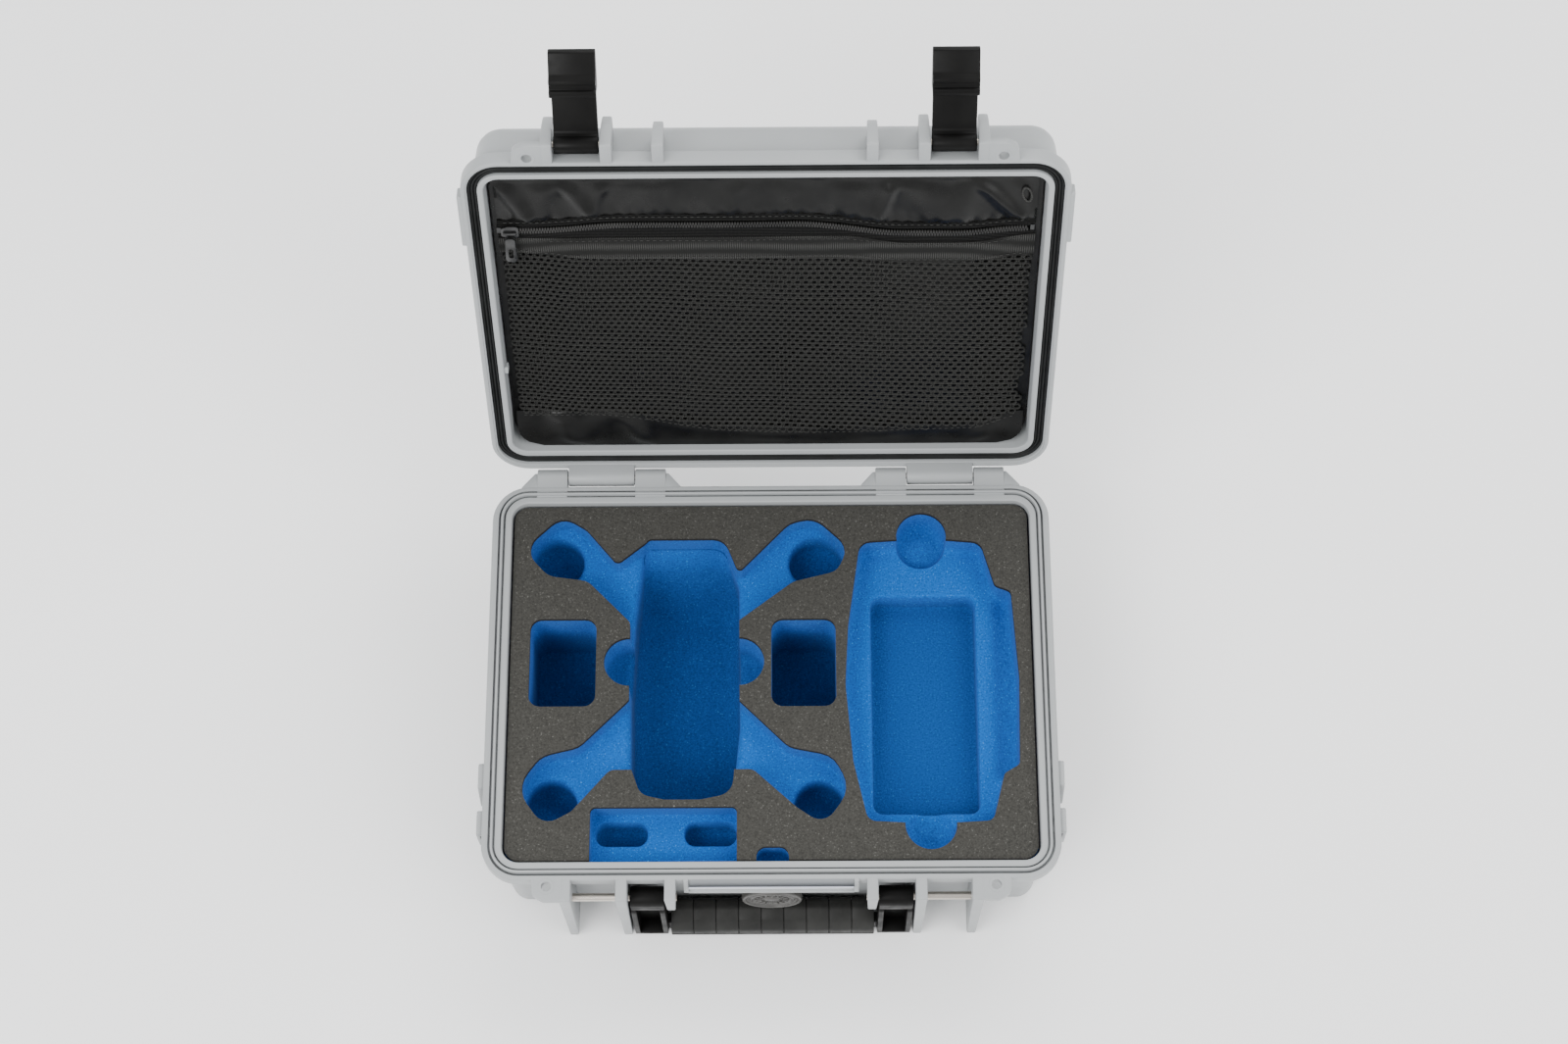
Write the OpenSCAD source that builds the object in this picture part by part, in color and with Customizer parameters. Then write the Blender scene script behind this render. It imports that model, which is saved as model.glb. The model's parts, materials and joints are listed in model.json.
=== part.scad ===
// Hard carrying case for a small camera drone, shown open on a table.
// Frame: origin on the floor under the middle of the tray, +X to the right,
// +Y towards the hinges, +Z up. The lid and what it carries are drawn as if
// the case were shut, and lid_place() then swings them open.

/* [Case] */
// Width of the opening of the tray
inner_w = 250; // [230:1:270]
// Depth of the opening of the tray
inner_d = 178.6; // [165:0.2:190]
// Height of the tray, from the floor to its rim
base_h = 70; // [68:1:76]
// Height of the lid above the rim
lid_h = 35; // [34:1:40]
// Wall thickness of tray and lid
wall = 3; // [2.4:0.1:3.4]
// Corner radius of the opening
corner_r = 8; // [7.5:0.1:9]
// Angle at which the lid rests open
lid_open = 109; // [95:1:112]

/* [Hinge] */
// Distance of the hinge axis behind the middle
hinge_y = 103.9; // [103.5:0.1:104.5]
// Depth of the hinge axis below the rim
hinge_drop = 3.2; // [3:0.1:3.6]
// Radius of the hinge pins and latch pins
pin_r = 1.5; // [1.2:0.1:1.8]
// Left and right edges of a lid knuckle
knuckle_x = [66.2, 98.3];

/* [Latches and handle] */
// Radius of the steel rods that catch the latches and carry the handle
rod_r = 1.9; // [1.6:0.1:2.1]
// Distance of the rods in front of the middle
rod_out = 102; // [101.5:0.1:102.5]
// Depth of the rods below the rim
rod_drop = 16; // [15.5:0.1:16.5]
// Distance of the latch pins in front of the middle
latch_out = 103; // [102.5:0.1:103.5]
// Height of the latch pins above the rim
latch_rise = 7; // [6.5:0.1:7.5]
// Length of a latch from its pin to its tip
latch_len = 44; // [42:0.5:48]
// Angle of the open latches from their shut place
latch_open = 103; // [80:1:110]
// Radial play of everything that turns on a pin
play = 0.06; // [0.02:0.01:0.1]

/* [Foam] */
// Thickness of the dark sheet on top of the foam
sheet_t = 2.4; // [2:0.1:4]
// How far the foam lies below the rim
foam_drop = 2.6; // [2:0.1:4]
// Gap around the foam
foam_gap = 0.8; // [0.5:0.1:1.5]

/* [Pouch] */
// How far the pouch lies inside the lid
pouch_in = 6.5; // [6:0.1:8]
// Thickness of the cloth and mesh of the pouch
cloth_t = 1.5; // [1:0.1:2]
// Distance of the zip in front of the middle
zip_out = 53; // [48:1:56]

/* [Hidden] */
$fn = 48;

// Half sizes of the opening and of the flanges around both rims
open_x = inner_w / 2;
open_y = inner_d / 2;
flange_x = open_x + 9.5;
flange_y = open_y + 8.7;
flange_r = corner_r + 9;
flange_h = 8;
rim_gap = 0.3;
lid_z = base_h + rim_gap;
hinge_z = base_h - hinge_drop;
hinge_x = 82.2;
hinge_pin_len = 61.6;
rod_x = 71;
rod_half = 26.8;
eye_out = 5.6;
rod_z = base_h - rod_drop;
latch_z = base_h + latch_rise;
draft = 2.5;
lid_top = base_h + lid_h;
lid_x = open_x + 4.6;
lid_y = open_y + 3.8;
lid_cavity = 0.8;
back_lip_x = 112;
lid_round = 10;
base_round = 8;

// Ears, in pairs that hold a latch or an arm of the handle between them
ear_t = 5.3;
ear_xs = [95.25, 69.25];
lug_x = 46.7;
ear_out = 108;
latch_w = 19.6;
latch_x = 82.25;
arm_xs = [49.9, 65.9];
arm_x = (arm_xs[0] + arm_xs[1]) / 2;
arm_w = arm_xs[1] - arm_xs[0];
eye_pos = [103.7, 100.9];
eye_r = 2;

// Pressure valve: its height, boss, plug and cap
valve_z = base_h / 2 + 1;
boss_r = 17;
boss_out = 4;
plug_r = 8;
cap_r = 14.3;

// Fingers for a strap: outer face, height, and their ends as [root, tip]
finger_x = 137.2;
finger_h = 18;
finger_ys = [[-41, -55.5], [-76, -62]];

// Tongue of the tray and the seal groove of the lid that it enters
tongue_off = 5.2;
tongue_t = 1.2;
tongue_h = 1.4;
groove_off = 6.6;
groove_t = 4.6;
groove_h = 3.5;

// Heights of the foam layers and of the recess floors
foam_top = base_h - foam_drop;
core_top = foam_top - sheet_t;
core_z = 14;
deep_z = 18;
shallow_z = 54;
middle_z = 40;

// Handle: half length, height and depth of the grip, and the bar inside it
grip_x = 48.6;
grip_z = [2, 20];
grip_y = [92.6, 108.4];
bar_y = [99.6, 104.4];
bar_z = [5, 17];
bar_gap = 0.05;

// Half widths of the pouch and of its cloth bands, and the zip line across it
pouch_x = 121;
band_x = 118;
band_y = 84.3;
zip_x0 = -115;
zip_half = 118;
coil_half = 1.55;
pouch_z = base_h + pouch_in;

function arc(c, r, a0, a1, n = 6) =
    [for (i = [0 : n]) let (a = a0 + (a1 - a0) * i / n) c + r * [cos(a), sin(a)]];

function taper(z) = draft * (1 - z / base_h);

// Solid on a rounded rectangle. prof lists [inset, z] from the bottom to the top.
module round_solid(hx, hy, r, prof) {
    n = len(prof) - 1;
    low = prof[0][1];
    high = prof[n][1];
    for (sx = [-1, 1], sy = [-1, 1])
        translate([sx * (hx - r), sy * (hy - r), 0])
            rotate_extrude()
                polygon(concat([[0, low]], [for (p = prof) [r - p[0], p[1]]], [[0, high]]));
    rotate([90, 0, 90])
        linear_extrude(2 * (hx - r), center = true)
            polygon(concat([for (p = prof) [hy - p[0], p[1]]],
                [for (i = [n : -1 : 0]) [prof[i][0] - hy, prof[i][1]]]));
    rotate([90, 0, 0])
        linear_extrude(2 * (hy - r), center = true)
            polygon(concat([for (p = prof) [hx - p[0], p[1]]],
                [for (i = [n : -1 : 0]) [prof[i][0] - hx, prof[i][1]]]));
}

// Ring of one rectangular section that runs along a rounded rectangle
module round_ring(hx, hy, r, t, z0, z1) {
    difference() {
        round_solid(hx, hy, r, [[0, z0], [0, z1]]);
        round_solid(hx - t, hy - t, r - t, [[0, z0 - 1], [0, z1 + 1]]);
    }
}

// Plate that stands across X, drawn as its side view in [distance out, z]
module side_plate(x, t, points) {
    translate([x, 0, 0])
        rotate([90, 0, 90])
            linear_extrude(t, center = true)
                polygon([for (p = points) [-p[0], p[1]]]);
}

// Rod along X through a point given as [distance out, z]
module cross_rod(x0, x1, out, z, r) {
    translate([x0, -out, z])
        rotate([0, 90, 0])
            cylinder(h = x1 - x0, r = r);
}

module lid_place() {
    translate([0, hinge_y, hinge_z])
        rotate([-lid_open, 0, 0])
            translate([0, -hinge_y, -hinge_z])
                children();
}

// Tab with an eye for a padlock beside the outer ears
module padlock_tab(z0) {
    for (sx = [-1, 1])
        translate([sx * eye_pos[0], -eye_pos[1], z0])
            difference() {
                union() {
                    cylinder(h = 4, r = eye_out);
                    translate([-eye_out, 0, 0])
                        cube([2 * eye_out, 8, 4]);
                }
                translate([0, 0, -1])
                    cylinder(h = 6, r = eye_r);
            }
}

// ---------------------------------------------------------------- tray

module tray_ears() {
    for (sx = [-1, 1]) {
        for (x = ear_xs)
            side_plate(sx * x, ear_t, [[86, 0], [105.5, 0], [107.4, 2],
                [ear_out, 8], [ear_out, base_h - 1.5], [ear_out - 1.5, base_h], [86, base_h]]);
        side_plate(sx * lug_x, ear_t, [[88, base_h - 24], [105, base_h - 22],
            [ear_out, base_h - 19], [ear_out, base_h - 1.5], [ear_out - 1.5, base_h], [88, base_h]]);
    }
}

module hinge_blocks() {
    for (sx = [-1, 1]) {
        difference() {
            union() {
                for (x = [[51, knuckle_x[0] - 0.4], [knuckle_x[1] + 0.4, 113.4]])
                    translate([sx * (x[0] + x[1]) / 2, 0, 0])
                        rotate([90, 0, 90]) {
                            linear_extrude(x[1] - x[0], center = true)
                                polygon([[90, base_h - 16], [96, base_h - 14],
                                    [hinge_y + 3.9, hinge_z - 1.5], [hinge_y, hinge_z],
                                    [hinge_y - 2.9, base_h], [90, base_h]]);
                            translate([hinge_y, hinge_z, 0])
                                cylinder(h = x[1] - x[0], r = 4.3, center = true);
                        }
                for (x = [[45, 51], [119, 113.4]])
                    translate([0, 0, base_h - 12])
                        linear_extrude(12)
                            polygon([[sx * x[0], flange_y - 6], [sx * x[0], flange_y - 0.5],
                                [sx * x[1], hinge_y + 2], [sx * x[1], flange_y - 6]]);
            }
            translate([sx * 82, hinge_y, hinge_z])
                rotate([0, 90, 0])
                    cylinder(h = 80, r = pin_r + 0.05, center = true);
        }
    }
}

// Two fingers on each side that a strap slips behind
module strap_fingers() {
    z = base_h - finger_h - 2;
    for (sx = [-1, 1], y = finger_ys) {
        span = [min(y), max(y)];
        root = y[0] < y[1] ? y[0] : y[0] - 4;
        translate([min(sx * (flange_x - 0.3), sx * finger_x), span[0], z])
            cube([finger_x - flange_x + 0.3, span[1] - span[0], finger_h]);
        translate([min(sx * (open_x + 1), sx * finger_x), root, z])
            cube([finger_x - open_x - 1, 4, finger_h]);
    }
}

// Front of the tray between the lugs, with a sloping field for a name card
module label_ledge() {
    difference() {
        side_plate(0, 81, [[90, base_h - 14], [101.8, base_h - 13], [101.8, base_h - 9.5],
            [98.9, base_h - 0.2], [98, base_h], [90, base_h]]);
        label_slab(76.6, 2, -0.9);
    }
}

// Slab of thickness t on the sloping field, its back at the depth `at`
module label_slab(w, t, at) {
    translate([0, -100.9, base_h - 5.6])
        rotate([90 + 17, 0, 0])
            translate([-w / 2, -4.4, at])
                cube([w, 8.8, t]);
}

module base_shell() {
    color([0.70, 0.71, 0.71])
        difference() {
            union() {
                round_solid(open_x + wall, open_y + wall, corner_r + wall,
                    concat([[draft + base_round, 0]],
                        [for (p = arc([base_round, base_round], base_round, 240, 180, 4))
                            [draft + p[0], p[1]]],
                        [[0, base_h]]));
                round_solid(flange_x, flange_y, flange_r,
                    [[5, base_h - flange_h - 3], [0.6, base_h - flange_h], [0, base_h - flange_h + 0.6],
                        [0, base_h - 0.8], [0.8, base_h]]);
                round_ring(open_x + tongue_off, open_y + tongue_off, corner_r + tongue_off,
                    tongue_t, base_h - 1, base_h + tongue_h);
                tray_ears();
                hinge_blocks();
                label_ledge();
                padlock_tab(base_h - 4);
                valve_place()
                    translate([0, 0, 1])
                        cylinder(h = boss_out - 1, r = boss_r);
            }
            round_solid(open_x, open_y, corner_r,
                [[draft + 3, wall], [draft, wall + 3], [0, base_h], [0, base_h + 5]]);
            round_ring(open_x + tongue_off + 1.1, open_y + tongue_off + 1.1,
                corner_r + tongue_off + 1.1, 1, base_h - 1, base_h + 1);
            for (sx = [-1, 1]) {
                translate([sx * flange_x - 3, finger_ys[1][0] + 4, base_h - 21])
                    cube([6, finger_ys[0][0] - finger_ys[1][0] - 8, 30]);
                cross_rod(sx * 71 - 30, sx * 71 + 30, rod_out, rod_z, rod_r + 0.05);
                translate([sx * eye_pos[0], -eye_pos[1], base_h - 20])
                    cylinder(h = 30, r = eye_r);
            }
            valve_place()
                translate([0, 0, -8])
                    cylinder(h = 20, r = plug_r + 0.1);
        }
    color([0.70, 0.71, 0.71])
        strap_fingers();
}

module hinge_pin(sx) {
    color([0.72, 0.70, 0.66])
        translate([sx * hinge_x, hinge_y, hinge_z])
            rotate([0, 90, 0])
                cylinder(h = hinge_pin_len, r = pin_r, center = true);
}
module hinge_pin_left() { hinge_pin(-1); }
module hinge_pin_right() { hinge_pin(1); }

module front_rod(sx) {
    color([0.76, 0.72, 0.66])
        cross_rod(sx * rod_x - rod_half, sx * rod_x + rod_half, rod_out, rod_z, rod_r);
}
module front_rod_left() { front_rod(-1); }
module front_rod_right() { front_rod(1); }

// Pressure valve in the front wall, drawn along its own axis
module valve_place() {
    translate([0, -open_y, valve_z])
        rotate([90, 0, 0])
            children();
}
module valve_body() {
    color([0.12, 0.12, 0.13])
        valve_place()
            difference() {
                union() {
                    translate([0, 0, -1.6])
                        cylinder(h = 8.6, r = plug_r);
                    translate([0, 0, boss_out + 0.9])
                        cylinder(h = 2.1, r = 12);
                }
                translate([0, 0, -4])
                    cylinder(h = 7, r = plug_r - 2.5);
                cylinder(h = 8, r = 3);
            }
}
module valve_membrane() {
    color([0.92, 0.92, 0.90])
        valve_place()
            translate([0, 0, 1.9])
                cylinder(h = 1, r = plug_r - 2.7);
}
module valve_gasket() {
    color([0.08, 0.08, 0.08])
        valve_place()
            translate([0, 0, boss_out + 0.05])
                difference() {
                    cylinder(h = 0.8, r = 11.5);
                    translate([0, 0, -1])
                        cylinder(h = 3, r = plug_r + 0.05);
                }
}
module valve_cap() {
    color([0.33, 0.34, 0.34])
        valve_place()
            translate([0, 0, boss_out + 3.05])
                difference() {
                    cylinder(h = 3.4, r = cap_r);
                    for (r = [cap_r - 1.9, cap_r - 4.7])
                        translate([0, 0, 2.9])
                            difference() {
                                cylinder(h = 1, r = r);
                                translate([0, 0, -1])
                                    cylinder(h = 3, r = r - 0.9);
                            }
                }
}

module label_card() { color([0.86, 0.88, 0.92]) label_slab(76, 0.3, -0.85); }
module label_window() { color([0.80, 0.86, 0.95, 0.4]) label_slab(76.2, 0.5, -0.5); }

// ---------------------------------------------------------------- foam

module foam_slab(z0, z1, foot = 0) {
    round_solid(open_x - foam_gap, open_y - foam_gap, corner_r - foam_gap,
        concat(foot > 0 ? [[taper(z0) + foot, z0]] : [],
            [[taper(z0 + foot), z0 + foot], [taper(z1), z1]]));
}

// Rounded rectangle as squares and circles, so that it stays exact
module pad(x0, x1, y0, y1, r) {
    for (x = [x0 + r, x1 - r], y = [y0 + r, y1 - r])
        translate([x, y])
            circle(r);
    translate([x0, y0 + r])
        square([x1 - x0, y1 - y0 - 2 * r]);
    translate([x0 + r, y0])
        square([x1 - x0 - 2 * r, y1 - y0]);
}

// Middle of the aircraft, and its four arms from the body to the motor pods
body_c = [-41, 7];
pods = [[-101.5, 67], [19.5, 66.5], [-103.5, -54], [21.5, -55]];
pod_r = 15;
module drone_outline() {
    polygon([[-58, 71], [-22, 71], [-15.2, 53], [-15, -25], [-19, -56], [-26, -58.5],
        [-53, -58.5], [-61, -56], [-66.5, -38], [-67, -3], [-67, 32], [-74, 58]]);
}
module arm_outline(i) {
    pod = pods[i];
    side = sign(pod[0] - body_c[0]);
    up = sign(pod[1]);
    root = body_c + [side * 20, up * 29];
    wide = 14;
    polygon([pod + [0, up * pod_r], root + [0, up * wide], root - [0, up * wide],
        pod + [0, -up * (pod_r - 2)]]);
    translate(pod)
        circle(pod_r);
}
module finger_outline() {
    for (x = [-67, -15])
        translate([x, 9])
            circle(12.2);
}
module controller_outline() {
    polygon([[43, 69], [60, 70.3], [85, 70.3], [100.6, 68.7], [107.3, 46.3], [114.9, 44],
        [117.6, 0], [116.6, -42.2], [109, -47], [103.4, -69.5], [87.8, -70.4], [62.6, -70.4],
        [45.1, -69.3], [38.6, -41], [35.4, -3], [36.9, 26]]);
    for (p = [[72.6, 72], [74.4, -71.5]])
        translate(p)
            circle(12);
}

// All recesses that reach the top, as [outline, floor]
module recesses(z_top) {
    h = z_top - deep_z + 1;
    translate([0, 0, deep_z])
        linear_extrude(h) {
            drone_outline();
            pad(-114.8, -83.3, -13, 30.5, 6);
            pad(0.4, 30.8, -13.4, 30, 6);
        }
    translate([0, 0, shallow_z])
        linear_extrude(z_top - shallow_z + 1) {
            for (i = [0 : 3])
                arm_outline(i);
            controller_outline();
            pad(-84.3, -16.1, -95, -62.6, 2.5);
            pad(-7, 8.3, -95, -81.7, 3);
        }
    translate([0, 0, middle_z])
        linear_extrude(z_top - middle_z + 1) {
            for (p = pods)
                translate(p)
                    circle(pod_r - 3);
            finger_outline();
            pad(48, 98, -62.5, 45.5, 4);
            pad(-82.4, -58, -77.6, -66.2, 5);
            pad(-40.7, -16.3, -77.6, -66.2, 5);
        }
}

module foam_base() { color([0.09, 0.32, 0.62]) foam_slab(wall + 0.3, core_z, 3); }
module foam_core() {
    color([0.09, 0.36, 0.70])
        difference() {
            foam_slab(core_z, core_top);
            recesses(core_top);
        }
}
module foam_top_sheet() {
    color([0.24, 0.24, 0.24])
        difference() {
            foam_slab(core_top, foam_top);
            recesses(foam_top);
        }
}

// ---------------------------------------------------------------- lid

module lid_ears() {
    for (sx = [-1, 1]) {
        for (x = ear_xs)
            side_plate(sx * x, ear_t, [[90, lid_z], [ear_out - 1.5, lid_z], [ear_out, lid_z + 1.5],
                [ear_out - 0.8, base_h + 20], [ear_out - 3.5, base_h + 23.5], [86, base_h + 27]]);
        side_plate(sx * lug_x, ear_t, [[90, lid_z], [ear_out - 1.5, lid_z], [ear_out, lid_z + 1.5],
            [ear_out - 1, base_h + 17], [ear_out - 3.5, base_h + 20], [86, base_h + 24]]);
    }
}

module lid_knuckles() {
    for (sx = [-1, 1]) {
        mid = sx * (knuckle_x[0] + knuckle_x[1]) / 2;
        len = knuckle_x[1] - knuckle_x[0];
        translate([mid, 0, 0])
            rotate([90, 0, 90]) {
                linear_extrude(len, center = true)
                    polygon([[92, lid_z], [97.6, lid_z], [hinge_y - 4.2, hinge_z], [hinge_y + 4.2, hinge_z],
                        [hinge_y + 3.4, base_h + 2], [98, base_h + 7.5], [92, base_h + 7.5]]);
                translate([hinge_y, hinge_z, 0])
                    cylinder(h = len, r = 4.3, center = true);
            }
    }
}

module lid_shell() {
    color([0.70, 0.71, 0.71])
        lid_place()
            difference() {
                union() {
                    round_solid(lid_x, lid_y, corner_r + 4,
                        concat([[0, lid_z + 2], [1.2, lid_top - lid_round]],
                            [for (p = arc([lid_round, -lid_round], lid_round, 180, 90, 7))
                                if (p[1] > -lid_round + 1) [1.2 + p[0], lid_top + p[1]]]));
                    round_solid(flange_x, flange_y, flange_r,
                        [[0.8, lid_z], [0, lid_z + 0.8], [0, lid_z + flange_h - 0.6],
                            [0.6, lid_z + flange_h], [5, lid_z + flange_h + 3]]);
                    translate([-back_lip_x, flange_y - 2, lid_z + 0.4])
                        cube([2 * back_lip_x, 5, flange_h - 1]);
                    lid_ears();
                    lid_knuckles();
                    padlock_tab(lid_z);
                    for (sx = [-1, 1])
                        translate([sx * (flange_x - 1) - 3, -78, lid_z + 0.6])
                            cube([6, 30, 6.5]);
                }
                round_solid(open_x - lid_cavity, open_y - lid_cavity, corner_r,
                    [[0, lid_z - 2], [0.6, base_h + 14], [1.6, lid_top - 9], [3.6, lid_top - 5],
                        [7, lid_top - wall]]);
                round_ring(open_x + groove_off, open_y + groove_off, corner_r + groove_off,
                    groove_t, lid_z - 1, lid_z + groove_h);
                for (sx = [-1, 1]) {
                    translate([sx * 82, hinge_y, hinge_z])
                        rotate([0, 90, 0])
                            cylinder(h = 60, r = pin_r + play, center = true);
                    cross_rod(sx * latch_x - 20, sx * latch_x + 20, latch_out, latch_z, pin_r + 0.05);
                    translate([sx * eye_pos[0], -eye_pos[1], lid_z - 1])
                        cylinder(h = 12, r = eye_r);
                }
            }
}

module lid_seal() {
    color([0.07, 0.08, 0.08])
        lid_place()
            round_ring(open_x + groove_off - 0.15, open_y + groove_off - 0.15, corner_r + groove_off - 0.15,
                groove_t - 0.3, base_h + tongue_h + 0.3, lid_z + groove_h - 0.05);
}

module latch_pin(sx) {
    color([0.72, 0.70, 0.66])
        lid_place()
            cross_rod(sx * latch_x - 15, sx * latch_x + 15, latch_out, latch_z, pin_r);
}
module latch_pin_left() { latch_pin(-1); }
module latch_pin_right() { latch_pin(1); }

// Cloth panels of the pouch, as [y low, y high]
module cloth_panel(y0, y1, half = pouch_x) {
    lid_place()
        translate([-half, y0, pouch_z])
            cube([2 * half, y1 - y0, cloth_t]);
}
module pouch_bag() {
    color([0.09, 0.09, 0.09])
        lid_place()
            round_solid(pouch_x - 1, 84.5, corner_r,
                [[0, pouch_z + cloth_t + 0.1], [1, base_h + 15], [4, base_h + 24], [7.2, base_h + 28]]);
}
module pouch_top_band() { color([0.10, 0.10, 0.10]) cloth_panel(-band_y, -zip_out - 4, band_x); }
module pouch_zip_tape() {
    color([0.16, 0.16, 0.15]) {
        cloth_panel(-zip_out - 3.95, -zip_out - coil_half - 0.05);
        cloth_panel(-zip_out + coil_half + 0.05, -36.5);
    }
}
module zip_chain() {
    color([0.22, 0.22, 0.21])
        lid_place()
            translate([-zip_half, -zip_out - coil_half, pouch_z - 0.2])
                cube([2 * zip_half, 2 * coil_half, cloth_t + 0.2]);
}
module zip_end_stops() {
    color([0.30, 0.30, 0.29])
        lid_place()
            for (x = [-zip_half - 2.9, zip_half + 0.1])
                translate([x, -zip_out - coil_half, pouch_z - 0.6])
                    cube([1.8, 2 * coil_half, cloth_t + 0.6]);
}
module pouch_mesh() { color([0.14, 0.14, 0.13]) cloth_panel(-36.45, 68); }
module pouch_bottom_band() { color([0.10, 0.10, 0.10]) cloth_panel(68.05, band_y, band_x); }
module pouch_loop() {
    color([0.12, 0.12, 0.12])
        lid_place()
            translate([113, -78, pouch_z - 1.6])
                difference() {
                    cube([5, 8, 1.55]);
                    translate([1.2, 1.2, -1])
                        cube([2.6, 5.6, 4]);
                }
}

// ---------------------------------------------------------------- moving pieces

// Latch in its shut place, side view from the pin: thin web, then a thick hook
// whose upper face is an arc about the pin, so it slides under the rod.
hook_r = sqrt(pow(rod_drop + latch_rise, 2) + pow(latch_out - rod_out, 2)) + rod_r + 0.3;
module latch(sx) {
    color([0.09, 0.09, 0.09])
        lid_place()
            translate([sx * latch_x, -latch_out, latch_z])
                rotate([-latch_open, 0, 0])
                    rotate([90, 0, 90])
                        linear_extrude(latch_w, center = true)
                            difference() {
                                union() {
                                    circle(4.2);
                                    polygon([[0, 4.2], [-3.6, 2.4], [-5.2, -3], [-5.4, -hook_r - 2],
                                        [-1.4, -hook_r - 2], [-1.4, -4], [0, -4.2]]);
                                    polygon(concat(arc([0, 0], hook_r, -79.5, -97, 6),
                                        [[-5.6, -hook_r], [-6, -hook_r - 8], [-6, -latch_len + 1.5],
                                            [-4.5, -latch_len], [-1, -latch_len], [1.5, -latch_len + 8],
                                            [4.4, -hook_r - 5]]));
                                }
                                circle(pin_r + play);
                            }
}
module latch_left() { latch(-1); }
module latch_right() { latch(1); }

module handle_frame() {
    color([0.07, 0.07, 0.07]) {
        for (sx = [-1, 1])
            difference() {
                union() {
                    cross_rod(sx * arm_x - arm_w / 2, sx * arm_x + arm_w / 2, rod_out, rod_z, 5);
                    side_plate(sx * arm_x, arm_w, [[97.6, 3], [99, 1.8], [106, 1.8], [107.6, 4],
                        [107, rod_z], [97.4, rod_z]]);
                }
                cross_rod(sx * arm_x - 20, sx * arm_x + 20, rod_out, rod_z, rod_r + play);
                side_plate(sx * arm_x, arm_w - 5, [[100.2, 6], [110, 6], [110, rod_z - 7.5],
                    [100.2, rod_z - 7.5]]);
            }
        translate([-arm_xs[0] - 0.5, -bar_y[1], bar_z[0]])
            cube([2 * arm_xs[0] + 1, bar_y[1] - bar_y[0], bar_z[1] - bar_z[0]]);
    }
}

module handle_grip() {
    color([0.10, 0.10, 0.10])
        difference() {
            side_plate(0, 2 * grip_x, [[grip_y[0] + 2.4, grip_z[0]], [106, grip_z[0]],
                [grip_y[1], grip_z[0] + 3], [grip_y[1], 13], [105, 17.5], [98.6, grip_z[1]],
                [grip_y[0] + 2, 18.2], [grip_y[0], 16], [grip_y[0], 4.4]]);
            translate([-grip_x - 1, -bar_y[1] - bar_gap, bar_z[0] - bar_gap])
                cube([2 * grip_x + 2, bar_y[1] - bar_y[0] + 2 * bar_gap,
                    bar_z[1] - bar_z[0] + 2 * bar_gap]);
        }
}

module zip_slider() {
    color([0.42, 0.42, 0.42])
        lid_place()
            translate([zip_x0, -zip_out, pouch_z])
                difference() {
                    union() {
                        translate([-4, -3.4, -2.2])
                            cube([8, 6.8, 1.7]);
                        translate([0, 3.2, -3.4])
                            cylinder(h = 2.9, r = 1.5);
                    }
                    translate([0, 3.2, -4])
                        cylinder(h = 5, r = 0.85);
                }
}

// Pull that swivels on the slider's eye and hangs down the open lid
module zip_pull() {
    color([0.35, 0.35, 0.35])
        lid_place()
            translate([zip_x0, 3.2 - zip_out, pouch_z]) {
                translate([0, 0, -4.8])
                    cylinder(h = 4.5, r = 0.8);
                translate([0, 0, -4.8])
                    linear_extrude(1.2) {
                        circle(2.4);
                        polygon([[-1.6, 0], [1.6, 0], [2.6, 11], [1.8, 12.5], [-1.8, 12.5], [-2.6, 11]]);
                    }
            }
}

base_shell();
hinge_pin_left();
hinge_pin_right();
front_rod_left();
front_rod_right();
valve_body();
valve_membrane();
valve_gasket();
valve_cap();
label_card();
label_window();
foam_base();
foam_core();
foam_top_sheet();
lid_shell();
lid_seal();
latch_pin_left();
latch_pin_right();
pouch_bag();
pouch_top_band();
pouch_zip_tape();
zip_chain();
zip_end_stops();
pouch_mesh();
pouch_bottom_band();
pouch_loop();
latch_left();
latch_right();
handle_frame();
handle_grip();
zip_slider();
zip_pull();
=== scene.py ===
"""Looks of the drone carrying case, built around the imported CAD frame.

Lengths are written in millimetres in the frame of the case (origin on the floor
under the middle of the tray) and turned into metres where a mesh is made. What
belongs to the lid is drawn as if the case were shut, and then swung open.
"""

import json
from collections import Counter
from math import atan2, ceil, copysign, cos, degrees, exp, pi, radians, sin, sqrt, tan

import bmesh
import bpy
import numpy as np
from mathutils import Matrix, Vector, noise
from mathutils.geometry import delaunay_2d_cdt


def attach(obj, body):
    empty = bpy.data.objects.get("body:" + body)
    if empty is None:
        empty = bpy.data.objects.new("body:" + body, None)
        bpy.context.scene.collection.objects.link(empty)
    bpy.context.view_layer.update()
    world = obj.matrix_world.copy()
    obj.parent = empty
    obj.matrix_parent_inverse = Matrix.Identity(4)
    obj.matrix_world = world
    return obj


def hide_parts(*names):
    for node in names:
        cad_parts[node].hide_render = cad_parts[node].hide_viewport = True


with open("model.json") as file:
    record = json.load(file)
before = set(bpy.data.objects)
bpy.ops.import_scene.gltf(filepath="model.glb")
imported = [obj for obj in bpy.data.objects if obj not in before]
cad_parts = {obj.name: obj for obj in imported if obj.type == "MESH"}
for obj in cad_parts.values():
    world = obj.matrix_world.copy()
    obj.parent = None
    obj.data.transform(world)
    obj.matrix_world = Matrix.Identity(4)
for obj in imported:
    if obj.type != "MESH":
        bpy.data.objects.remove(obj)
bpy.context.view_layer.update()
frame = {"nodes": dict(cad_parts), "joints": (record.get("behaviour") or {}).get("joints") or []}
joints = {j["name"]: j for j in frame["joints"]}
noise.seed_set(7)      # otherwise noise_vector starts from the clock

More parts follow.
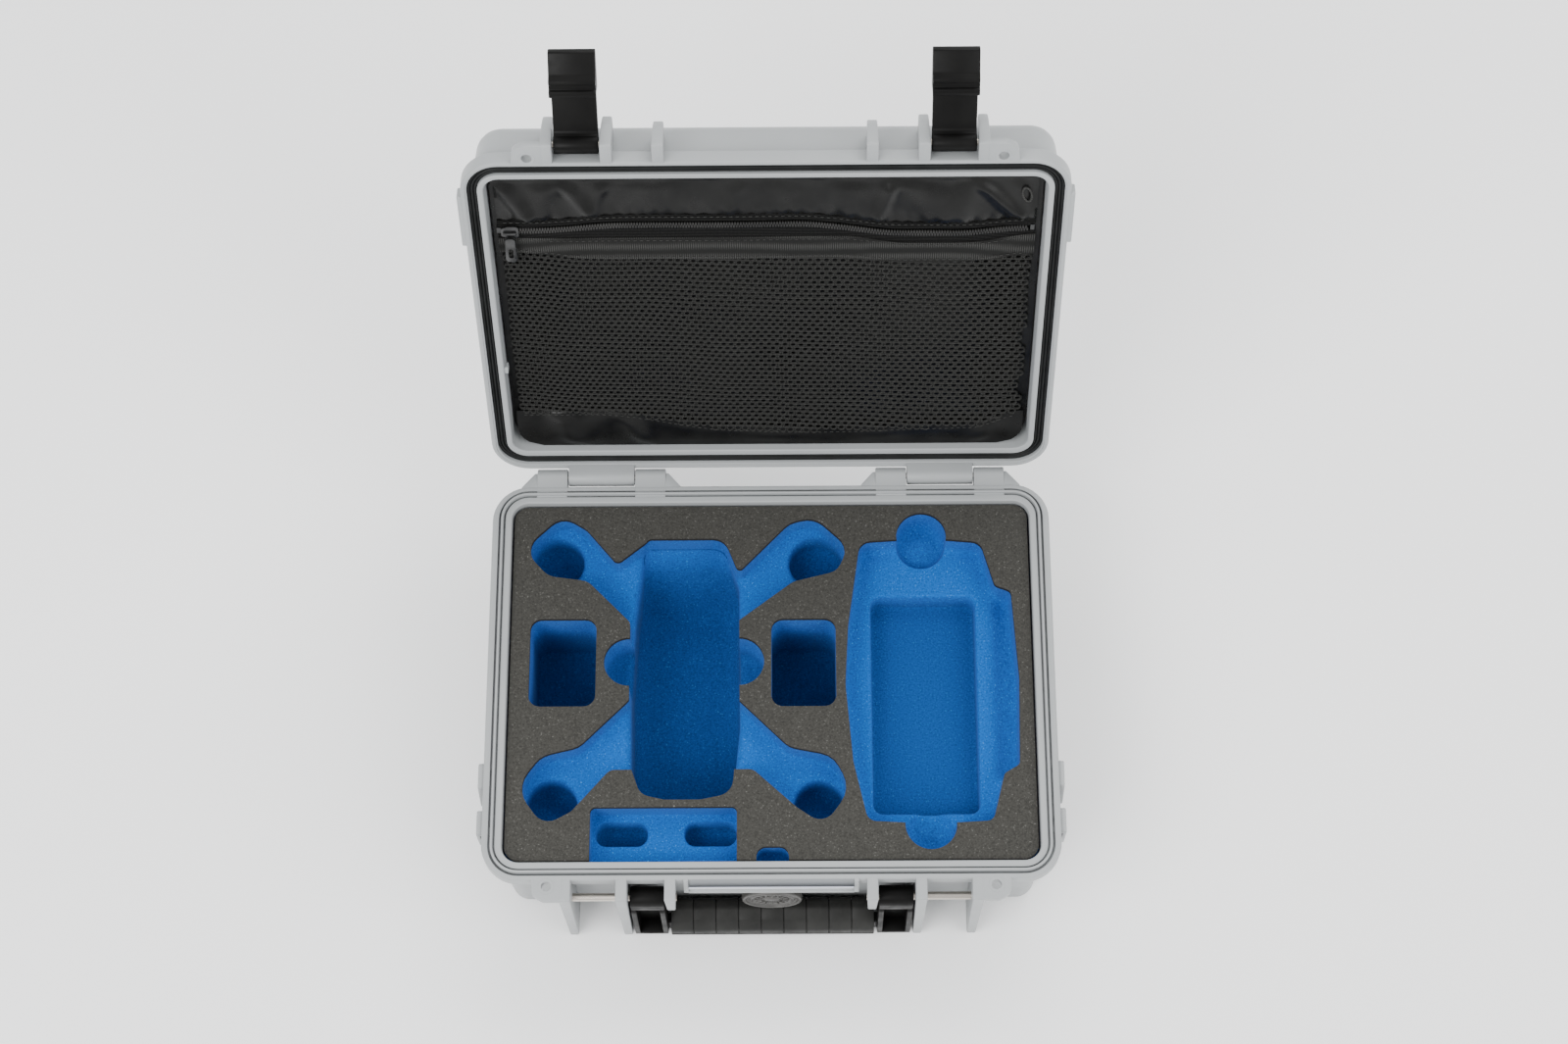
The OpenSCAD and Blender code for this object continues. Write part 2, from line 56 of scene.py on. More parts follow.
MM = 0.001
TAU = 2 * pi
SMOOTH_TO = radians(32)      # shading breaks over steeper edges, unless a piece says more
BEVEL_FROM = radians(35)
ARC_STEP = 15                     # degrees between the points of a round corner

# ---- driving sizes

OPEN_X, OPEN_Y, CORNER = 125.0, 89.3, 8.0     # half opening of the tray, corner radius
RIM_Z = 70.0                                  # top of the tray's flange
LID_Z, LID_TOP = RIM_Z + 0.3, RIM_Z + 35.0    # the shut lid
EARS, LUG, EAR_OUT = (95.25, 69.25), 46.7, 108.0   # beside the latches: their X, and their reach
EAR_WIDTH = 5.3
HINGE = Vector(joints["lid_hinge"]["pos_m"])
OPEN_ANGLE = radians(joints["lid_hinge"]["range_deg"][1])
LATCH_ANGLE = radians(joints["latch_left_turn"]["range_deg"][1])
LATCH_PIN = Vector((0, -103.0, 77.0))
LATCH_X = 82.25
ROD = Vector((0, -102.0, 54.0))
ARM_X = 57.9
FOAM_TOP = 67.4
SHEET_T = 2.4
CORE_TOP = FOAM_TOP - SHEET_T
DEEP_Z, SHALLOW_Z, MIDDLE_Z = 18.0, 54.0, 40.0
POUCH_Z = 76.5                                # the pouch's front
ZIP_X, ZIP_Y = -115.0, -53.0                  # the slider at rest
POUCH_HALF, POUCH_BACK = 121.5, 87.9          # half width, and edge at the hinges with its
POUCH_CUT = 12.0                              # round corners
VALVE_Z = 36.0

SIDES = ((-1, "left"), (1, "right"))
SWUNG = ("lid", "latch_left", "latch_right", "zip_slider", "zip_pull")
LID_SWING = (Matrix.Translation(HINGE) @ Matrix.Rotation(-OPEN_ANGLE, 4, "X")
             @ Matrix.Translation(-HINGE))

# Turns of a plate that is drawn lying. Across X it is drawn in (distance out, z), along X
# in (y, z).
FLAT = Matrix.Identity(4)
ACROSS = Matrix(((0, 0, -1, 0), (-1, 0, 0, 0), (0, 1, 0, 0), (0, 0, 0, 1)))
ALONG = Matrix(((0, 0, 1, 0), (1, 0, 0, 0), (0, 1, 0, 0), (0, 0, 0, 1)))


# ---- outlines

def ease(t):
    """0 up to t = 0, 1 from t = 1, and a smooth step between."""
    t = min(max(t, 0.0), 1.0)
    return t * t * (3 - 2 * t)


def fillet(points, closed=True):
    """Outline with round corners. A point is (x, y) or (x, y, radius)."""
    out, n = [], len(points)
    for i, p in enumerate(points):
        r = p[2] if len(p) > 2 else 0
        if r == 0 or (not closed and i in (0, n - 1)):
            out.append((p[0], p[1]))
            continue
        here = Vector(p[:2])
        before = Vector(points[i - 1][:2]) - here
        after = Vector(points[(i + 1) % n][:2]) - here
        half = before.angle(after) / 2
        reach = min(r / tan(half), 0.49 * before.length, 0.49 * after.length)
        r = reach * tan(half)
        start, end = here + before.normalized() * reach, here + after.normalized() * reach
        centre = here + (before.normalized() + after.normalized()).normalized() * r / sin(half)
        a0 = atan2(*(start - centre).yx)
        turn = (atan2(*(end - centre).yx) - a0 + pi) % TAU - pi
        count = max(2, round(abs(degrees(turn)) / ARC_STEP))
        for k in range(count + 1):
            a = a0 + turn * k / count
            out.append((centre.x + r * cos(a), centre.y + r * sin(a)))
    return out


def pad(x0, x1, y0, y1, r):
    return fillet([(x0, y0, r), (x1, y0, r), (x1, y1, r), (x0, y1, r)])


def disc(cx, cy, r, n=48):
    return [(cx + r * cos(TAU * k / n), cy + r * sin(TAU * k / n)) for k in range(n)]


def rounded_ring(hx, hy, r, corner_steps=10, side_steps=8, back=None):
    """Points around a rounded rectangle, the same number for every size. The corners
    next to the hinges can have a radius of their own."""
    def at(sx, sy, degrees):
        q = back if back and sy > 0 else r
        a = radians(degrees)
        return Vector((sx * (hx - q) + q * cos(a), sy * (hy - q) + q * sin(a)))

    out, sx, sy = [], 1, 1
    for a0 in (0, 90, 180, 270):
        out += [at(sx, sy, a0 + 90 * k / corner_steps) for k in range(corner_steps + 1)]
        sx, sy = -sy, sx
        start, end = out[-1], at(sx, sy, a0 + 90)
        out += [start.lerp(end, k / side_steps) for k in range(1, side_steps)]
    return out


# ---- meshes

def new_piece(name, verts, faces, body, mat, lid=False, place=None, angle=32):
    """Object riding on a body of the frame, made of vertices in millimetres. What belongs
    to the lid is swung open with it, and lid=True does the same for a cutter."""
    mesh = bpy.data.meshes.new(name)
    mesh.from_pydata([Vector(v) * MM for v in verts], [], faces)
    return finish_piece(name, mesh, body, mat, lid, place, angle)


def finish_piece(name, mesh, body, mat, lid=False, place=None, angle=32):
    if place is not None:
        mesh.transform(place)
    if lid or body in SWUNG:
        mesh.transform(LID_SWING)
    tidy = bmesh.new()
    tidy.from_mesh(mesh)
    bmesh.ops.recalc_face_normals(tidy, faces=tidy.faces)
    tidy.to_mesh(mesh)
    tidy.free()
    mesh.shade_smooth()
    mesh.set_sharp_from_angle(angle=radians(angle))
    mesh.materials.clear()
    mesh.materials.append(mat)
    obj = bpy.data.objects.new(name, mesh)
    bpy.context.scene.collection.objects.link(obj)
    if body:
        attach(obj, body)
    return obj


def loft_mesh(rings, closed=False):
    """Skin over rings of equal length, with flat caps, or closed into a torus."""
    verts = [v for ring in rings for v in ring]
    n, m = len(rings[0]), len(rings)
    faces = []
    for i in range(m if closed else m - 1):
        here, there = i * n, (i + 1) % m * n
        for k in range(n):
            q = (k + 1) % n
            faces.append((here + k, here + q, there + q, there + k))
    if not closed:
        faces.append(tuple(range(n - 1, -1, -1)))
        faces.append(tuple((m - 1) * n + k for k in range(n)))
    return verts, faces


def add_loft(verts, faces, rings, closed=False):
    """Adds one more skin over rings to the lists of a mesh."""
    base = len(verts)
    more, skin = loft_mesh(rings, closed)
    verts += more
    faces += [tuple(base + k for k in face) for face in skin]


def rim_loft(profile, closed=False, back=lambda off: 0.0):
    """Rings around the opening for a profile of (offset, z). The flange is narrower at the
    front and back, and the side towards the hinges can reach further."""
    rings = []
    for off, z in profile:
        half_y = OPEN_Y + (off if off < 6.6 else 6.6 + (off - 6.6) * 2.1 / 2.9)
        ring = rounded_ring(OPEN_X + off, half_y, max(CORNER + off, 1.0))
        rings.append([(p.x, p.y + back(off) * ease(p.y / half_y * 2), z) for p in ring])
    return loft_mesh(rings, closed)


def part(outline, depth, bevel=0.0, at=(0, 0, 0), turn=ACROSS, taper=None):
    """Mesh in metres of a plate: an outline, depth thick about its middle, with rounded
    edges. taper(x, y) gives the share of the depth that is left at a point."""
    n = len(outline)
    verts = [Vector((x, y, side * depth / 2 * (taper(x, y) if taper else 1.0))) * MM
             for side in (-1, 1) for x, y in outline]
    faces = [tuple(range(n - 1, -1, -1)), tuple(range(n, 2 * n))]
    faces += [(k, (k + 1) % n, n + (k + 1) % n, n + k) for k in range(n)]
    mesh = bpy.data.meshes.new("part")
    mesh.from_pydata(verts, [], faces)
    if bevel:
        work = bmesh.new()
        work.from_mesh(mesh)
        bmesh.ops.remove_doubles(work, verts=work.verts, dist=0.002 * MM)
        bmesh.ops.recalc_face_normals(work, faces=work.faces)
        sharp = [e for e in work.edges
                 if len(e.link_faces) == 2 and e.calc_face_angle(0) > BEVEL_FROM]
        bmesh.ops.bevel(work, geom=sharp, offset=bevel * MM, offset_type="OFFSET", segments=2,
                        profile=0.5, affect="EDGES", clamp_overlap=True)
        work.to_mesh(mesh)
        work.free()
    mesh.transform(Matrix.Translation(Vector(at) * MM) @ turn)
    return mesh


def slab(name, outline, depth, at, body, mat, bevel=0.6, turn=ACROSS, lid=False, taper=None):
    return finish_piece(name, part(outline, depth, bevel, at, turn, taper), body, mat, lid)


def shell_slab(name, outline, depth, at, body, taper=None):
    slab(name, outline, depth, at, body, SHELL, taper=taper)


def turned(name, profile, at, turn, body, mat, steps=48):
    """Profile of (radius, height) turned about local Z."""
    rings = [[(r * cos(TAU * k / steps), r * sin(TAU * k / steps), h)
              for k in range(steps)] for r, h in profile]
    place = Matrix.Translation(Vector(at) * MM) @ turn
    return new_piece(name, *loft_mesh(rings), body, mat, place=place)


def joined(name, meshes, body, mat, place=None):
    """Several closed meshes, in metres, as one piece."""
    work = bmesh.new()
    for mesh in meshes:
        work.from_mesh(mesh)
        bpy.data.meshes.remove(mesh)
    mesh = bpy.data.meshes.new(name)
    work.to_mesh(mesh)
    work.free()
    return finish_piece(name, mesh, body, mat, place=place)


def shell_join(name, meshes):
    joined(name, meshes, "base", SHELL)


def stand_for(piece, node, slot):
    """Hides the CAD node that a piece replaces. Its piece and slot arguments are not used."""
    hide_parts(node)


def cut(target, cutters):
    """Takes the cutters out of the target mesh object, and removes them."""
    for cutter in cutters:
        mod = target.modifiers.new("cut", "BOOLEAN")
        mod.operation = "DIFFERENCE"
        mod.solver = "EXACT"
        mod.object = cutter
    shown = target.evaluated_get(bpy.context.evaluated_depsgraph_get())
    mesh = bpy.data.meshes.new_from_object(shown)
    target.modifiers.clear()
    target.data = mesh
    mesh.shade_smooth()
    mesh.set_sharp_from_angle(angle=SMOOTH_TO)
    for cutter in cutters:
        bpy.data.objects.remove(cutter)


# ---- materials

class Paint:
    """A Principled material whose uniform values sit on the shader's own sockets."""

    def __init__(self, name, colour, rough, **inputs):
        self.mat = bpy.data.materials.new(name)
        self.mat.use_nodes = True
        self.tree = self.mat.node_tree
        self.sockets = self.tree.nodes["Principled BSDF"].inputs
        self.colour, self.normal = colour, None
        for key, value in {"Base Color": (*colour, 1), "Roughness": rough, **inputs}.items():
            self.sockets[key.replace("_", " ")].default_value = value
        self.coords = self.node("TexCoord").outputs["Object"]

    def node(self, kind, links={}, **settings):
        """New node with its settings and values. links is {its input: the source}."""
        node = self.tree.nodes.new("ShaderNode" + kind)
        for key, value in settings.items():
            if key in node.inputs:
                node.inputs[key].default_value = value
            else:
                setattr(node, key, value)
        for key, source in links.items():
            self.tree.links.new(source, node.inputs[key])
        return node

    def to(self, socket, source):
        self.tree.links.new(source, self.sockets[socket])
        return self

    def noise(self, scale, detail, rough=0.55, stretch=(1, 1, 1)):
        mapping = self.node("Mapping", {"Vector": self.coords}, Scale=stretch)
        return self.node("TexNoise", {"Vector": mapping.outputs["Vector"]}, Scale=scale,
                         Detail=detail, Roughness=rough).outputs["Fac"]

    def cells(self, scale):
        return self.node("TexVoronoi", {"Vector": self.coords}, feature="F1",
                         Scale=scale).outputs["Distance"]

    def ramp(self, value, stops):
        node = self.node("ValToRGB", {"Fac": value})
        elements = node.color_ramp.elements
        while len(elements) < len(stops):
            elements.new(0.5)
        for element, (place, colour) in zip(elements, stops):
            element.position = place
            element.color = (*(colour if hasattr(colour, "__len__") else [colour] * 3), 1)
        return node.outputs["Color"]

    def tint(self, value, stops):
        """Base colour by a value. A stop is (place, share of the colour or other colour)."""
        return self.to("Base Color", self.ramp(value, [
            (place, [c * part for c in self.colour] if isinstance(part, float) else part)
            for place, part in stops]))

    def shades(self, value, low, high, a=0.35, b=0.65):
        return self.tint(value, [(a, low), (b, high)])

    def painted_shade_by_height(self, stops):
        """Painted shade: multiplies the base colour by a share of height. A stop is (z, share)."""
        low, high = stops[0][0], stops[-1][0]
        split = self.node("SeparateXYZ", {0: self.coords})
        span = self.node("MapRange", {"Value": split.outputs["Z"]},
                         **{"From Min": low * MM, "From Max": high * MM})
        share = self.ramp(span.outputs[0], [((z - low) / (high - low), part) for z, part in stops])
        mix = self.node("VectorMath", {0: self.sockets["Base Color"].links[0].from_socket,
                                       1: share}, operation="MULTIPLY")
        return self.to("Base Color", mix.outputs[0])

    def roughness(self, value, low, high):
        return self.to("Roughness", self.ramp(value, [(0.3, low), (0.7, high)]))

    def bump(self, height, strength, distance):
        below = {"Normal": self.normal} if self.normal else {}
        self.normal = self.node("Bump", {"Height": height, **below}, Strength=strength,
                                Distance=distance * MM).outputs["Normal"]
        return self.to("Normal", self.normal)


def finish(name, colour, rough, shades, roughness=None, bumps=(), **inputs):
    """A material from noise of its own shades (scale, detail, low, high, stretch), noise of
    roughness in the same order, and bumps of (scale, detail, strength, distance, stretch).
    A bump whose detail is None is made of cells."""
    def source(p, scale, detail, stretch=(1, 1, 1)):
        return p.cells(scale) if detail is None else p.noise(scale, detail, stretch=stretch)

    p = Paint(name, colour, rough, **inputs)
    scale, detail, low, high, *stretch = shades
    p.shades(source(p, scale, detail, *stretch), low, high)
    if roughness:
        scale, detail, low, high, *stretch = roughness
        p.roughness(source(p, scale, detail, *stretch), low, high)
    for scale, detail, strength, distance, *stretch in bumps:
        p.bump(source(p, scale, detail, *stretch), strength, distance)
    return p.mat


def make_black(name="black_plastic", rough=0.4, base=0.0038, shine=0.1):
    """Semi-gloss black moulding, worn a little in patches."""
    return finish(name, (base, base * 0.97, base * 0.92), rough, (40, 4, 0.8, 1.5),
                  (120, 5, rough - 0.07, rough + 0.12), [(2200, 2, 0.12, 0.05)],
                  Specular_IOR_Level=shine)


def make_foam(name, colour, speck, amount, painted_shade_heights=None):
    """Closed-cell foam: fuzzy, with pale specks where cells are cut open. Its deep floors
    are painted darker, as painted shade."""
    p = Paint(name, colour, 0.92, Specular_IOR_Level=0.08, Sheen_Weight=0.04,
              Sheen_Roughness=0.6)
    p.tint(p.noise(1150, 2, 0.7),
           [(0.3, 0.7), (0.55, 1.22), (amount, 1.22), (amount + 0.05, speck)])
    if painted_shade_heights:
        p.painted_shade_by_height(painted_shade_heights)
    return p.bump(p.cells(950), 0.5, 0.22).bump(p.noise(420, 4), 0.35, 0.25).mat


def make_weave(name, base, pitch, rough=0.75, ribs=1.0):
    """Woven tape: two crossed sets of bands under a fuzz."""
    p = Paint(name, (base, base, base * 0.95), rough, Specular_IOR_Level=0.08)
    waves = [p.node("TexWave", {"Vector": p.coords}, wave_type="BANDS", bands_direction=along,
                    Scale=0.32 / (spacing * MM), Distortion=0.4).outputs["Fac"]
             for along, spacing in (("X", pitch), ("Y", pitch * ribs))]
    crossed = p.node("Math", dict(enumerate(waves)), operation="MULTIPLY").outputs[0]
    p.shades(crossed, 0.5, 2.0, 0.1, 0.9)
    return p.bump(crossed, 0.7, 0.25).bump(p.noise(1500, 3), 0.3, 0.1).mat


# Light grey moulded plastic with a fine grain and faint scuffs
SHELL = finish("shell_plastic", (0.30, 0.312, 0.316), 0.45, (14, 4, 0.955, 1.03),
               (60, 5, 0.36, 0.5), [(2600, 2, 0.16, 0.06), (90, 3, 0.05, 0.1, (1, 8, 1))],
               Specular_IOR_Level=0.35)
BLACK = make_black()
GRIP = finish("grip_rubber", (0.017, 0.017, 0.016), 0.5, (50, 4, 0.75, 1.35),
              (160, 4, 0.42, 0.6), [(1500, None, 0.25, 0.1)], Specular_IOR_Level=0.12)
VALVE = make_black("valve_plastic", 0.32, 0.05, 0.35)
SEAL = finish("seal_rubber", (0.007, 0.0075, 0.0075), 0.5, (60, 3, 0.8, 1.4),
              bumps=[(1800, 3, 0.3, 0.08)], Specular_IOR_Level=0.16)
DRAWN = (0.02, 1, 1)      # fine lines along X
STEEL = finish("rod_steel", (0.52, 0.48, 0.43), 0.28, (30, 4, 0.85, 1.1),
               (900, 2, 0.2, 0.38, DRAWN), [(1500, 2, 0.12, 0.03, DRAWN)], Metallic=1.0)
FOAM_GREY = make_foam("foam_grey", (0.036, 0.035, 0.0315), (0.13, 0.13, 0.12), 0.66)
# Near-black copy of the grey foam for the sheet's cut sides: painted shade, where the recess walls
# fall in shadow
FOAM_SHADED_EDGE = make_foam("foam_edge_painted_shade", (0.0045, 0.0045, 0.004), (0.02, 0.02, 0.02), 0.7)
# Blue foam painted darker the deeper it lies: painted shade in the recesses
FOAM_BLUE = make_foam("foam_blue", (0.0045, 0.080, 0.325), (0.05, 0.25, 0.58), 0.65,
                      ((DEEP_Z - 4, 0.56), (MIDDLE_Z - 3, 0.58), (MIDDLE_Z + 2, 0.62),
                       (SHALLOW_Z - 2, 1.0)))
# Coated cloth: glossy black with a fine crinkle
VINYL = finish("pouch_vinyl", (0.0055, 0.0055, 0.0052), 0.28, (60, 4, 0.7, 1.5),
               (70, 5, 0.22, 0.4), [(180, 3, 0.12, 0.2), (1700, None, 0.08, 0.04)],
               Specular_IOR_Level=0.17)
TAPE = make_weave("pouch_tape", 0.024, 1.0, ribs=2.4)
ZIP_CLOTH = make_weave("zip_cloth", 0.0075, 0.6)
NET = make_weave("pouch_net", 0.036, 0.5, 0.6)
THREAD = make_weave("stitch_thread", 0.05, 0.4)
ZIP_METAL = finish("zip_metal", (0.05, 0.05, 0.05), 0.35, (200, 3, 0.7, 1.3),
                   (400, 3, 0.27, 0.45), [(1800, 2, 0.15, 0.04)], Metallic=0.85)
ZIP_COIL = make_black("zip_coil", 0.42, 0.016, 0.3)
CARD = finish("label_card", (0.50, 0.52, 0.60), 0.5, (20, 3, 0.9, 1.08, (1, 3, 3)),
              bumps=[(900, 2, 0.1, 0.03)])
WINDOW = finish("label_window", (0.88, 0.92, 1.0), 0.08, (30, 2, 0.95, 1.0),
                bumps=[(120, 3, 0.05, 0.05)], Alpha=0.35, Coat_Weight=0.6)
FELT = finish("membrane_felt", (0.75, 0.75, 0.73), 0.95, (300, 4, 0.85, 1.05),
              bumps=[(1500, 4, 0.4, 0.1)])


# ---- tray

def build_tray():
    base = RIM_Z
    profile = fillet([
        (-7.5, 0), (0.6, 0, 8), (2.7, base - 11), (8.8, base - 8.2, 0.8), (9.5, base - 7.4, 0.6),
        (9.5, base, 1.1), (6.4, base, 0.3), (6.3, base - 3), (5.4, base - 3),
        (5.2, base + 1.4, 0.5), (4.1, base + 1.4, 0.5), (3.9, base - 2.4), (3.3, base - 2.4),
        (3.2, base, 0.4), (0, base, 0.8), (-2.3, 4, 3), (-7.5, 3)], closed=False)
    stand_for(new_piece("tray_shell", *rim_loft(profile), "base", SHELL), "base_shell", "shell")
    root = [(96.4, base - 0.15), (96.4, base - 5), (92.2, base - 9), (91.4, base - 14)]
    ear = fillet([(88.6, 0.2), (105.3, 0.2, 1.5), (107.6, 2.6, 4), (EAR_OUT, base - 0.15, 1.2)]
                 + root)
    lug = fillet([(91, base - 24), (104.6, base - 22.4, 2), (107.6, base - 20, 3),
                  (EAR_OUT, base - 0.15, 1.2)] + root)
    for sx, side in SIDES:
        for x, name in zip(EARS, ("outer", "inner")):
            shell_slab(f"tray_ear_{name}_{side}", ear, EAR_WIDTH, (sx * x, 0, 0), "base",
                       lambda x, z: 0.76 + 0.24 * z / base)
        shell_slab(f"tray_lug_{side}", lug, EAR_WIDTH, (sx * LUG, 0, 0), "base",
                   lambda x, z: 0.6 + 0.4 * (z - 40) / 30)
        build_padlock_tab(f"tray_eye_{side}", sx, base - 4, "base")
        build_hinge_block(sx, side)
        build_strap_fingers(sx, side)


def build_padlock_tab(name, sx, z0, body):
    """Eye for a padlock: a flush web beside the outer ear, with a collar around its hole."""
    lid = body == "lid"
    x, y = sx * 103.7, -100.9
    outline = fillet([(-7.0, 4.6), (-7.0, -6.9, 1), (1.5, -6.9, 4.5), (6.4, -4.2, 4.5),
                      (7.4, 4.6, 1)])
    tab = slab(name, [(sx * px, py) for px, py in outline], 3.9, (x, y, z0 + 2), body, SHELL,
               0.5, FLAT)
    cut(tab, [slab("hole", disc(0, 0, 2.35, 32), 12, (x, y, z0 + 2), None, SHELL, 0, FLAT, lid)])
    up = -1 if lid else 1
    face = z0 if lid else z0 + 4
    rings = [[(px, py, face + up * h) for px, py in disc(x, y, r, 32)]
             for r, h in ((2.3, -1.6), (2.35, 0.0), (2.7, 0.12), (3.6, 0.1), (4.0, -0.3))]
    collar = new_piece(name + "_collar", *loft_mesh(rings, closed=True), body, SHELL)


def build_hinge_block(sx, side):
    base, hy, hz = RIM_Z, HINGE.y / MM, HINGE.z / MM
    ring = [(-(hy + 4.1 * cos(a)), hz + 4.1 * sin(a))
            for a in (radians(-50 + 15 * k) for k in range(12))]
    block = [(-91, base - 0.3), (-91, base - 16), (-95, base - 14)] + ring + [(-98, base - 0.1)]
    meshes = [part(block, x1 - x0, 0.5, (sx * (x0 + x1) / 2, 0, 0))
              for x0, x1 in ((51, 65.8), (98.7, 113.4))]
    for near, far in ((43.5, 51.5), (121, 112.8)):
        web = [(sx * near, 96.6, 0), (sx * near, 97.9, 3), (sx * far, hy + 3.2, 1.2),
               (sx * far, 96.6, 0)]
        meshes.append(part(fillet(web), 11.4, 0.5, (0, 0, base - 5.9), FLAT))
    shell_join(f"hinge_block_{side}", meshes)


def build_strap_fingers(sx, side):
    """Two fingers beside the flange, with a slanted slit between their tips."""
    meshes = []
    for y0, y1, slant in ((-41, -55.5, -2.2), (-76, -62, 2.2)):
        outline = fillet([(-18, y0, 1.5), (0, y0, 1.5), (0, y1 - slant, 1.5),
                          (-18, y1 + slant, 1.5)])
        meshes.append(part(outline, 2.9, 0.6, (sx * 135.7, 0, RIM_Z - 2),
                           Matrix(((0, 0, 1, 0), (0, 1, 0, 0), (1, 0, 0, 0), (0, 0, 0, 1)))))
        y2 = y0 + copysign(4, y1 - y0)
        root = pad(126, 136, min(y0, y2), max(y0, y2), 0.6)
        meshes.append(part([(sx * x, y) for x, y in root], 17, 0.5, (0, 0, RIM_Z - 11), FLAT))
    shell_join(f"strap_fingers_{side}", meshes)


def build_label_ledge():
    base = RIM_Z
    under, inner = [(92, base - 12.6), (101.2, base - 11.8, 0.5)], [(96.4, base - 5),
                                                                  (92.4, base - 9)]
    sunk = fillet(under + [(101.6, base - 11, 0.5), (101.5, base - 10.1, 0.4), (100.4, base - 9.9),
                           (97.9, base - 0.9), (97.6, base - 0.1), (96.6, base - 0.1)] + inner)
    full = fillet(under + [(101.6, base - 9.5, 0.8), (98.9, base - 0.2, 0.8),
                           (96.6, base - 0.2)] + inner)
    shell_join("label_ledge", [part(outline, depth, 0.25, (x, 0, 0)) for x, depth, outline in
                               ((0, 76.8, sunk), (-39.4, 2.2, full), (39.4, 2.2, full))])


def build_valve():
    """Pressure valve: a dished cap with rings, a small dial of plain ribs and a shadow gap."""
    facing = Matrix.Rotation(radians(90), 4, "X")
    at = (0, -OPEN_Y, VALVE_Z)
    turned("valve_boss", [(17, 1), (17, 3.4), (16.4, 4), (8.2, 4), (8.2, 1)], at, facing,
                   "base", SHELL)
    profile = [(0.01, 7.1), (13.6, 7.1), (14.3, 7.6), (14.3, 9.4), (13.9, 10.1), (13.2, 10.4),
               (12.5, 10.2), (12.1, 9.5), (11.5, 9.3), (10.9, 9.6), (10.4, 10.1), (9.7, 10.2),
               (9.2, 9.7), (8.7, 9.4), (4.2, 9.4), (3.6, 9.9), (3.0, 10.3), (0.01, 10.45)]
    stand_for(turned("valve_disc", profile, at, facing, "base", VALVE), "valve_cap", "valve_dark")
    ribs = [part(pad(4.9, 8.1, -0.45, 0.45, 0.4), 0.9, 0.2, at, facing
                 @ Matrix.Rotation(TAU * k / 16, 4, "Z") @ Matrix.Translation((0, 0, 9.6 * MM)))
            for k in range(16)]
    joined("valve_ribs", ribs, "base", VALVE)


# ---- foam

# The aircraft's outline: arms, motor pods and the places where they meet the body
CROSS = [(-101, 84, 14), (-89, 76.5, 10), (-74, 58.6, 3), (-58, 71.4, 3), (-22.5, 71.4, 8),
         (-15.6, 54, 2), (9, 79.5, 10), (21, 82.5, 14), (37.5, 67, 13), (32, 54.4, 8),
         (10.5, 49, 8), (-15.4, 29.4, 2), (-15.2, -10.4, 2), (8.5, -33.6, 10), (29, -37.6, 12),
         (37.5, -54, 14), (24.6, -71.6, 14), (12, -63, 6), (-8.5, -44.4, 5), (-19, -44.4, 3),
         (-60, -44.4, 3), (-75.6, -44.4, 5), (-93.3, -64.6, 8), (-106, -71.5, 14),
         (-119.6, -53, 14), (-108, -37.4, 12), (-90.4, -33.2, 10), (-67, -10, 3),
         (-67.2, 28.8, 3), (-88, 50, 9), (-107, 52.6, 10), (-119.6, 66.5, 13)]
BODY = [(-61, 71.0, 3), (-23, 71.0, 8), (-15.6, 52, 14), (-15, -20, 20), (-18.6, -55.8, 8),
        (-33, -58.8, 10), (-50, -58.8, 10), (-61, -56.2, 7), (-66.5, -40, 10), (-67.2, 0, 20),
        (-65.4, 36, 20)]
CONTROLLER = [(43, 69.4, 6), (60, 70.4, 4), (85, 70.4, 4), (101, 69, 6), (107.4, 46.6, 3),
              (115, 43.8, 3), (117.7, 0, 20), (116.6, -42.6, 3), (109.2, -47, 3),
              (103.4, -69.8, 4), (87.8, -70.6, 3), (62.6, -70.6, 3), (45.1, -69.6, 5),
              (38.6, -41, 12), (35.3, -3, 30), (36.9, 27, 20)]
BODY_TOP = [(-60, 71.4, 3), (-22.5, 71.4, 8), (-15.2, 52, 14), (-14.8, -20, 20), (-18.4, -56, 8),
            (-33, -59, 10), (-50, -59, 10), (-61.2, -56.4, 7), (-67, -40, 10), (-67.4, 20, 20)]
CHARGER = [(-84.4, -95), (-16, -95), (-16, -62.6, 2.5), (-84.4, -62.6, 2.5)]
SMALL_SLOT = [(-6.9, -95), (8.2, -95), (8.2, -81.8, 4.5), (-6.9, -81.8, 4.5)]
# Deeper place on the controller's shelf, along its right side
WING = [(108.6, 43, 4), (122, 46), (122, -50), (108, -45, 4), (107.2, 0, 20)]
DEEP_SLOTS = [pad(-114.8, -83.2, -13.2, 30.6, 5.5), pad(0.2, 30.9, -13.6, 30.2, 5.5)]
PODS = ((-103.4, 64.5, 12.5), (21.8, 64, 13.0), (-103.6, -57.5, 12.0), (22.6, -58.5, 12.0))


def recess(outline, floor, top):
    """Cutter for the dark sheet: the outline from below it to above it."""
    rings = [[(x, y, z) for x, y in outline] for z in (floor, top)]
    return new_piece("recess", *loft_mesh(rings), None, FOAM_BLUE)


def walk(outline, step):
    """The same closed outline with points no further apart than the step."""
    out = []
    for a, b in zip(outline, outline[1:] + outline[:1]):
        a, b = Vector(a), Vector(b)
        count = max(1, ceil((b - a).length / step))
        out += [a.lerp(b, k / count) for k in range(count)]
    return out


def inward_normals(points):
    area = sum(a.x * b.y - b.x * a.y for a, b in zip(points, points[1:] + points[:1]))
    sign = 1 if area > 0 else -1
    out = []
    for k, p in enumerate(points):
        along = (points[(k + 1) % len(points)] - points[k - 1]).normalized()
        out.append(Vector((-along.y, along.x)) * sign)
    return out


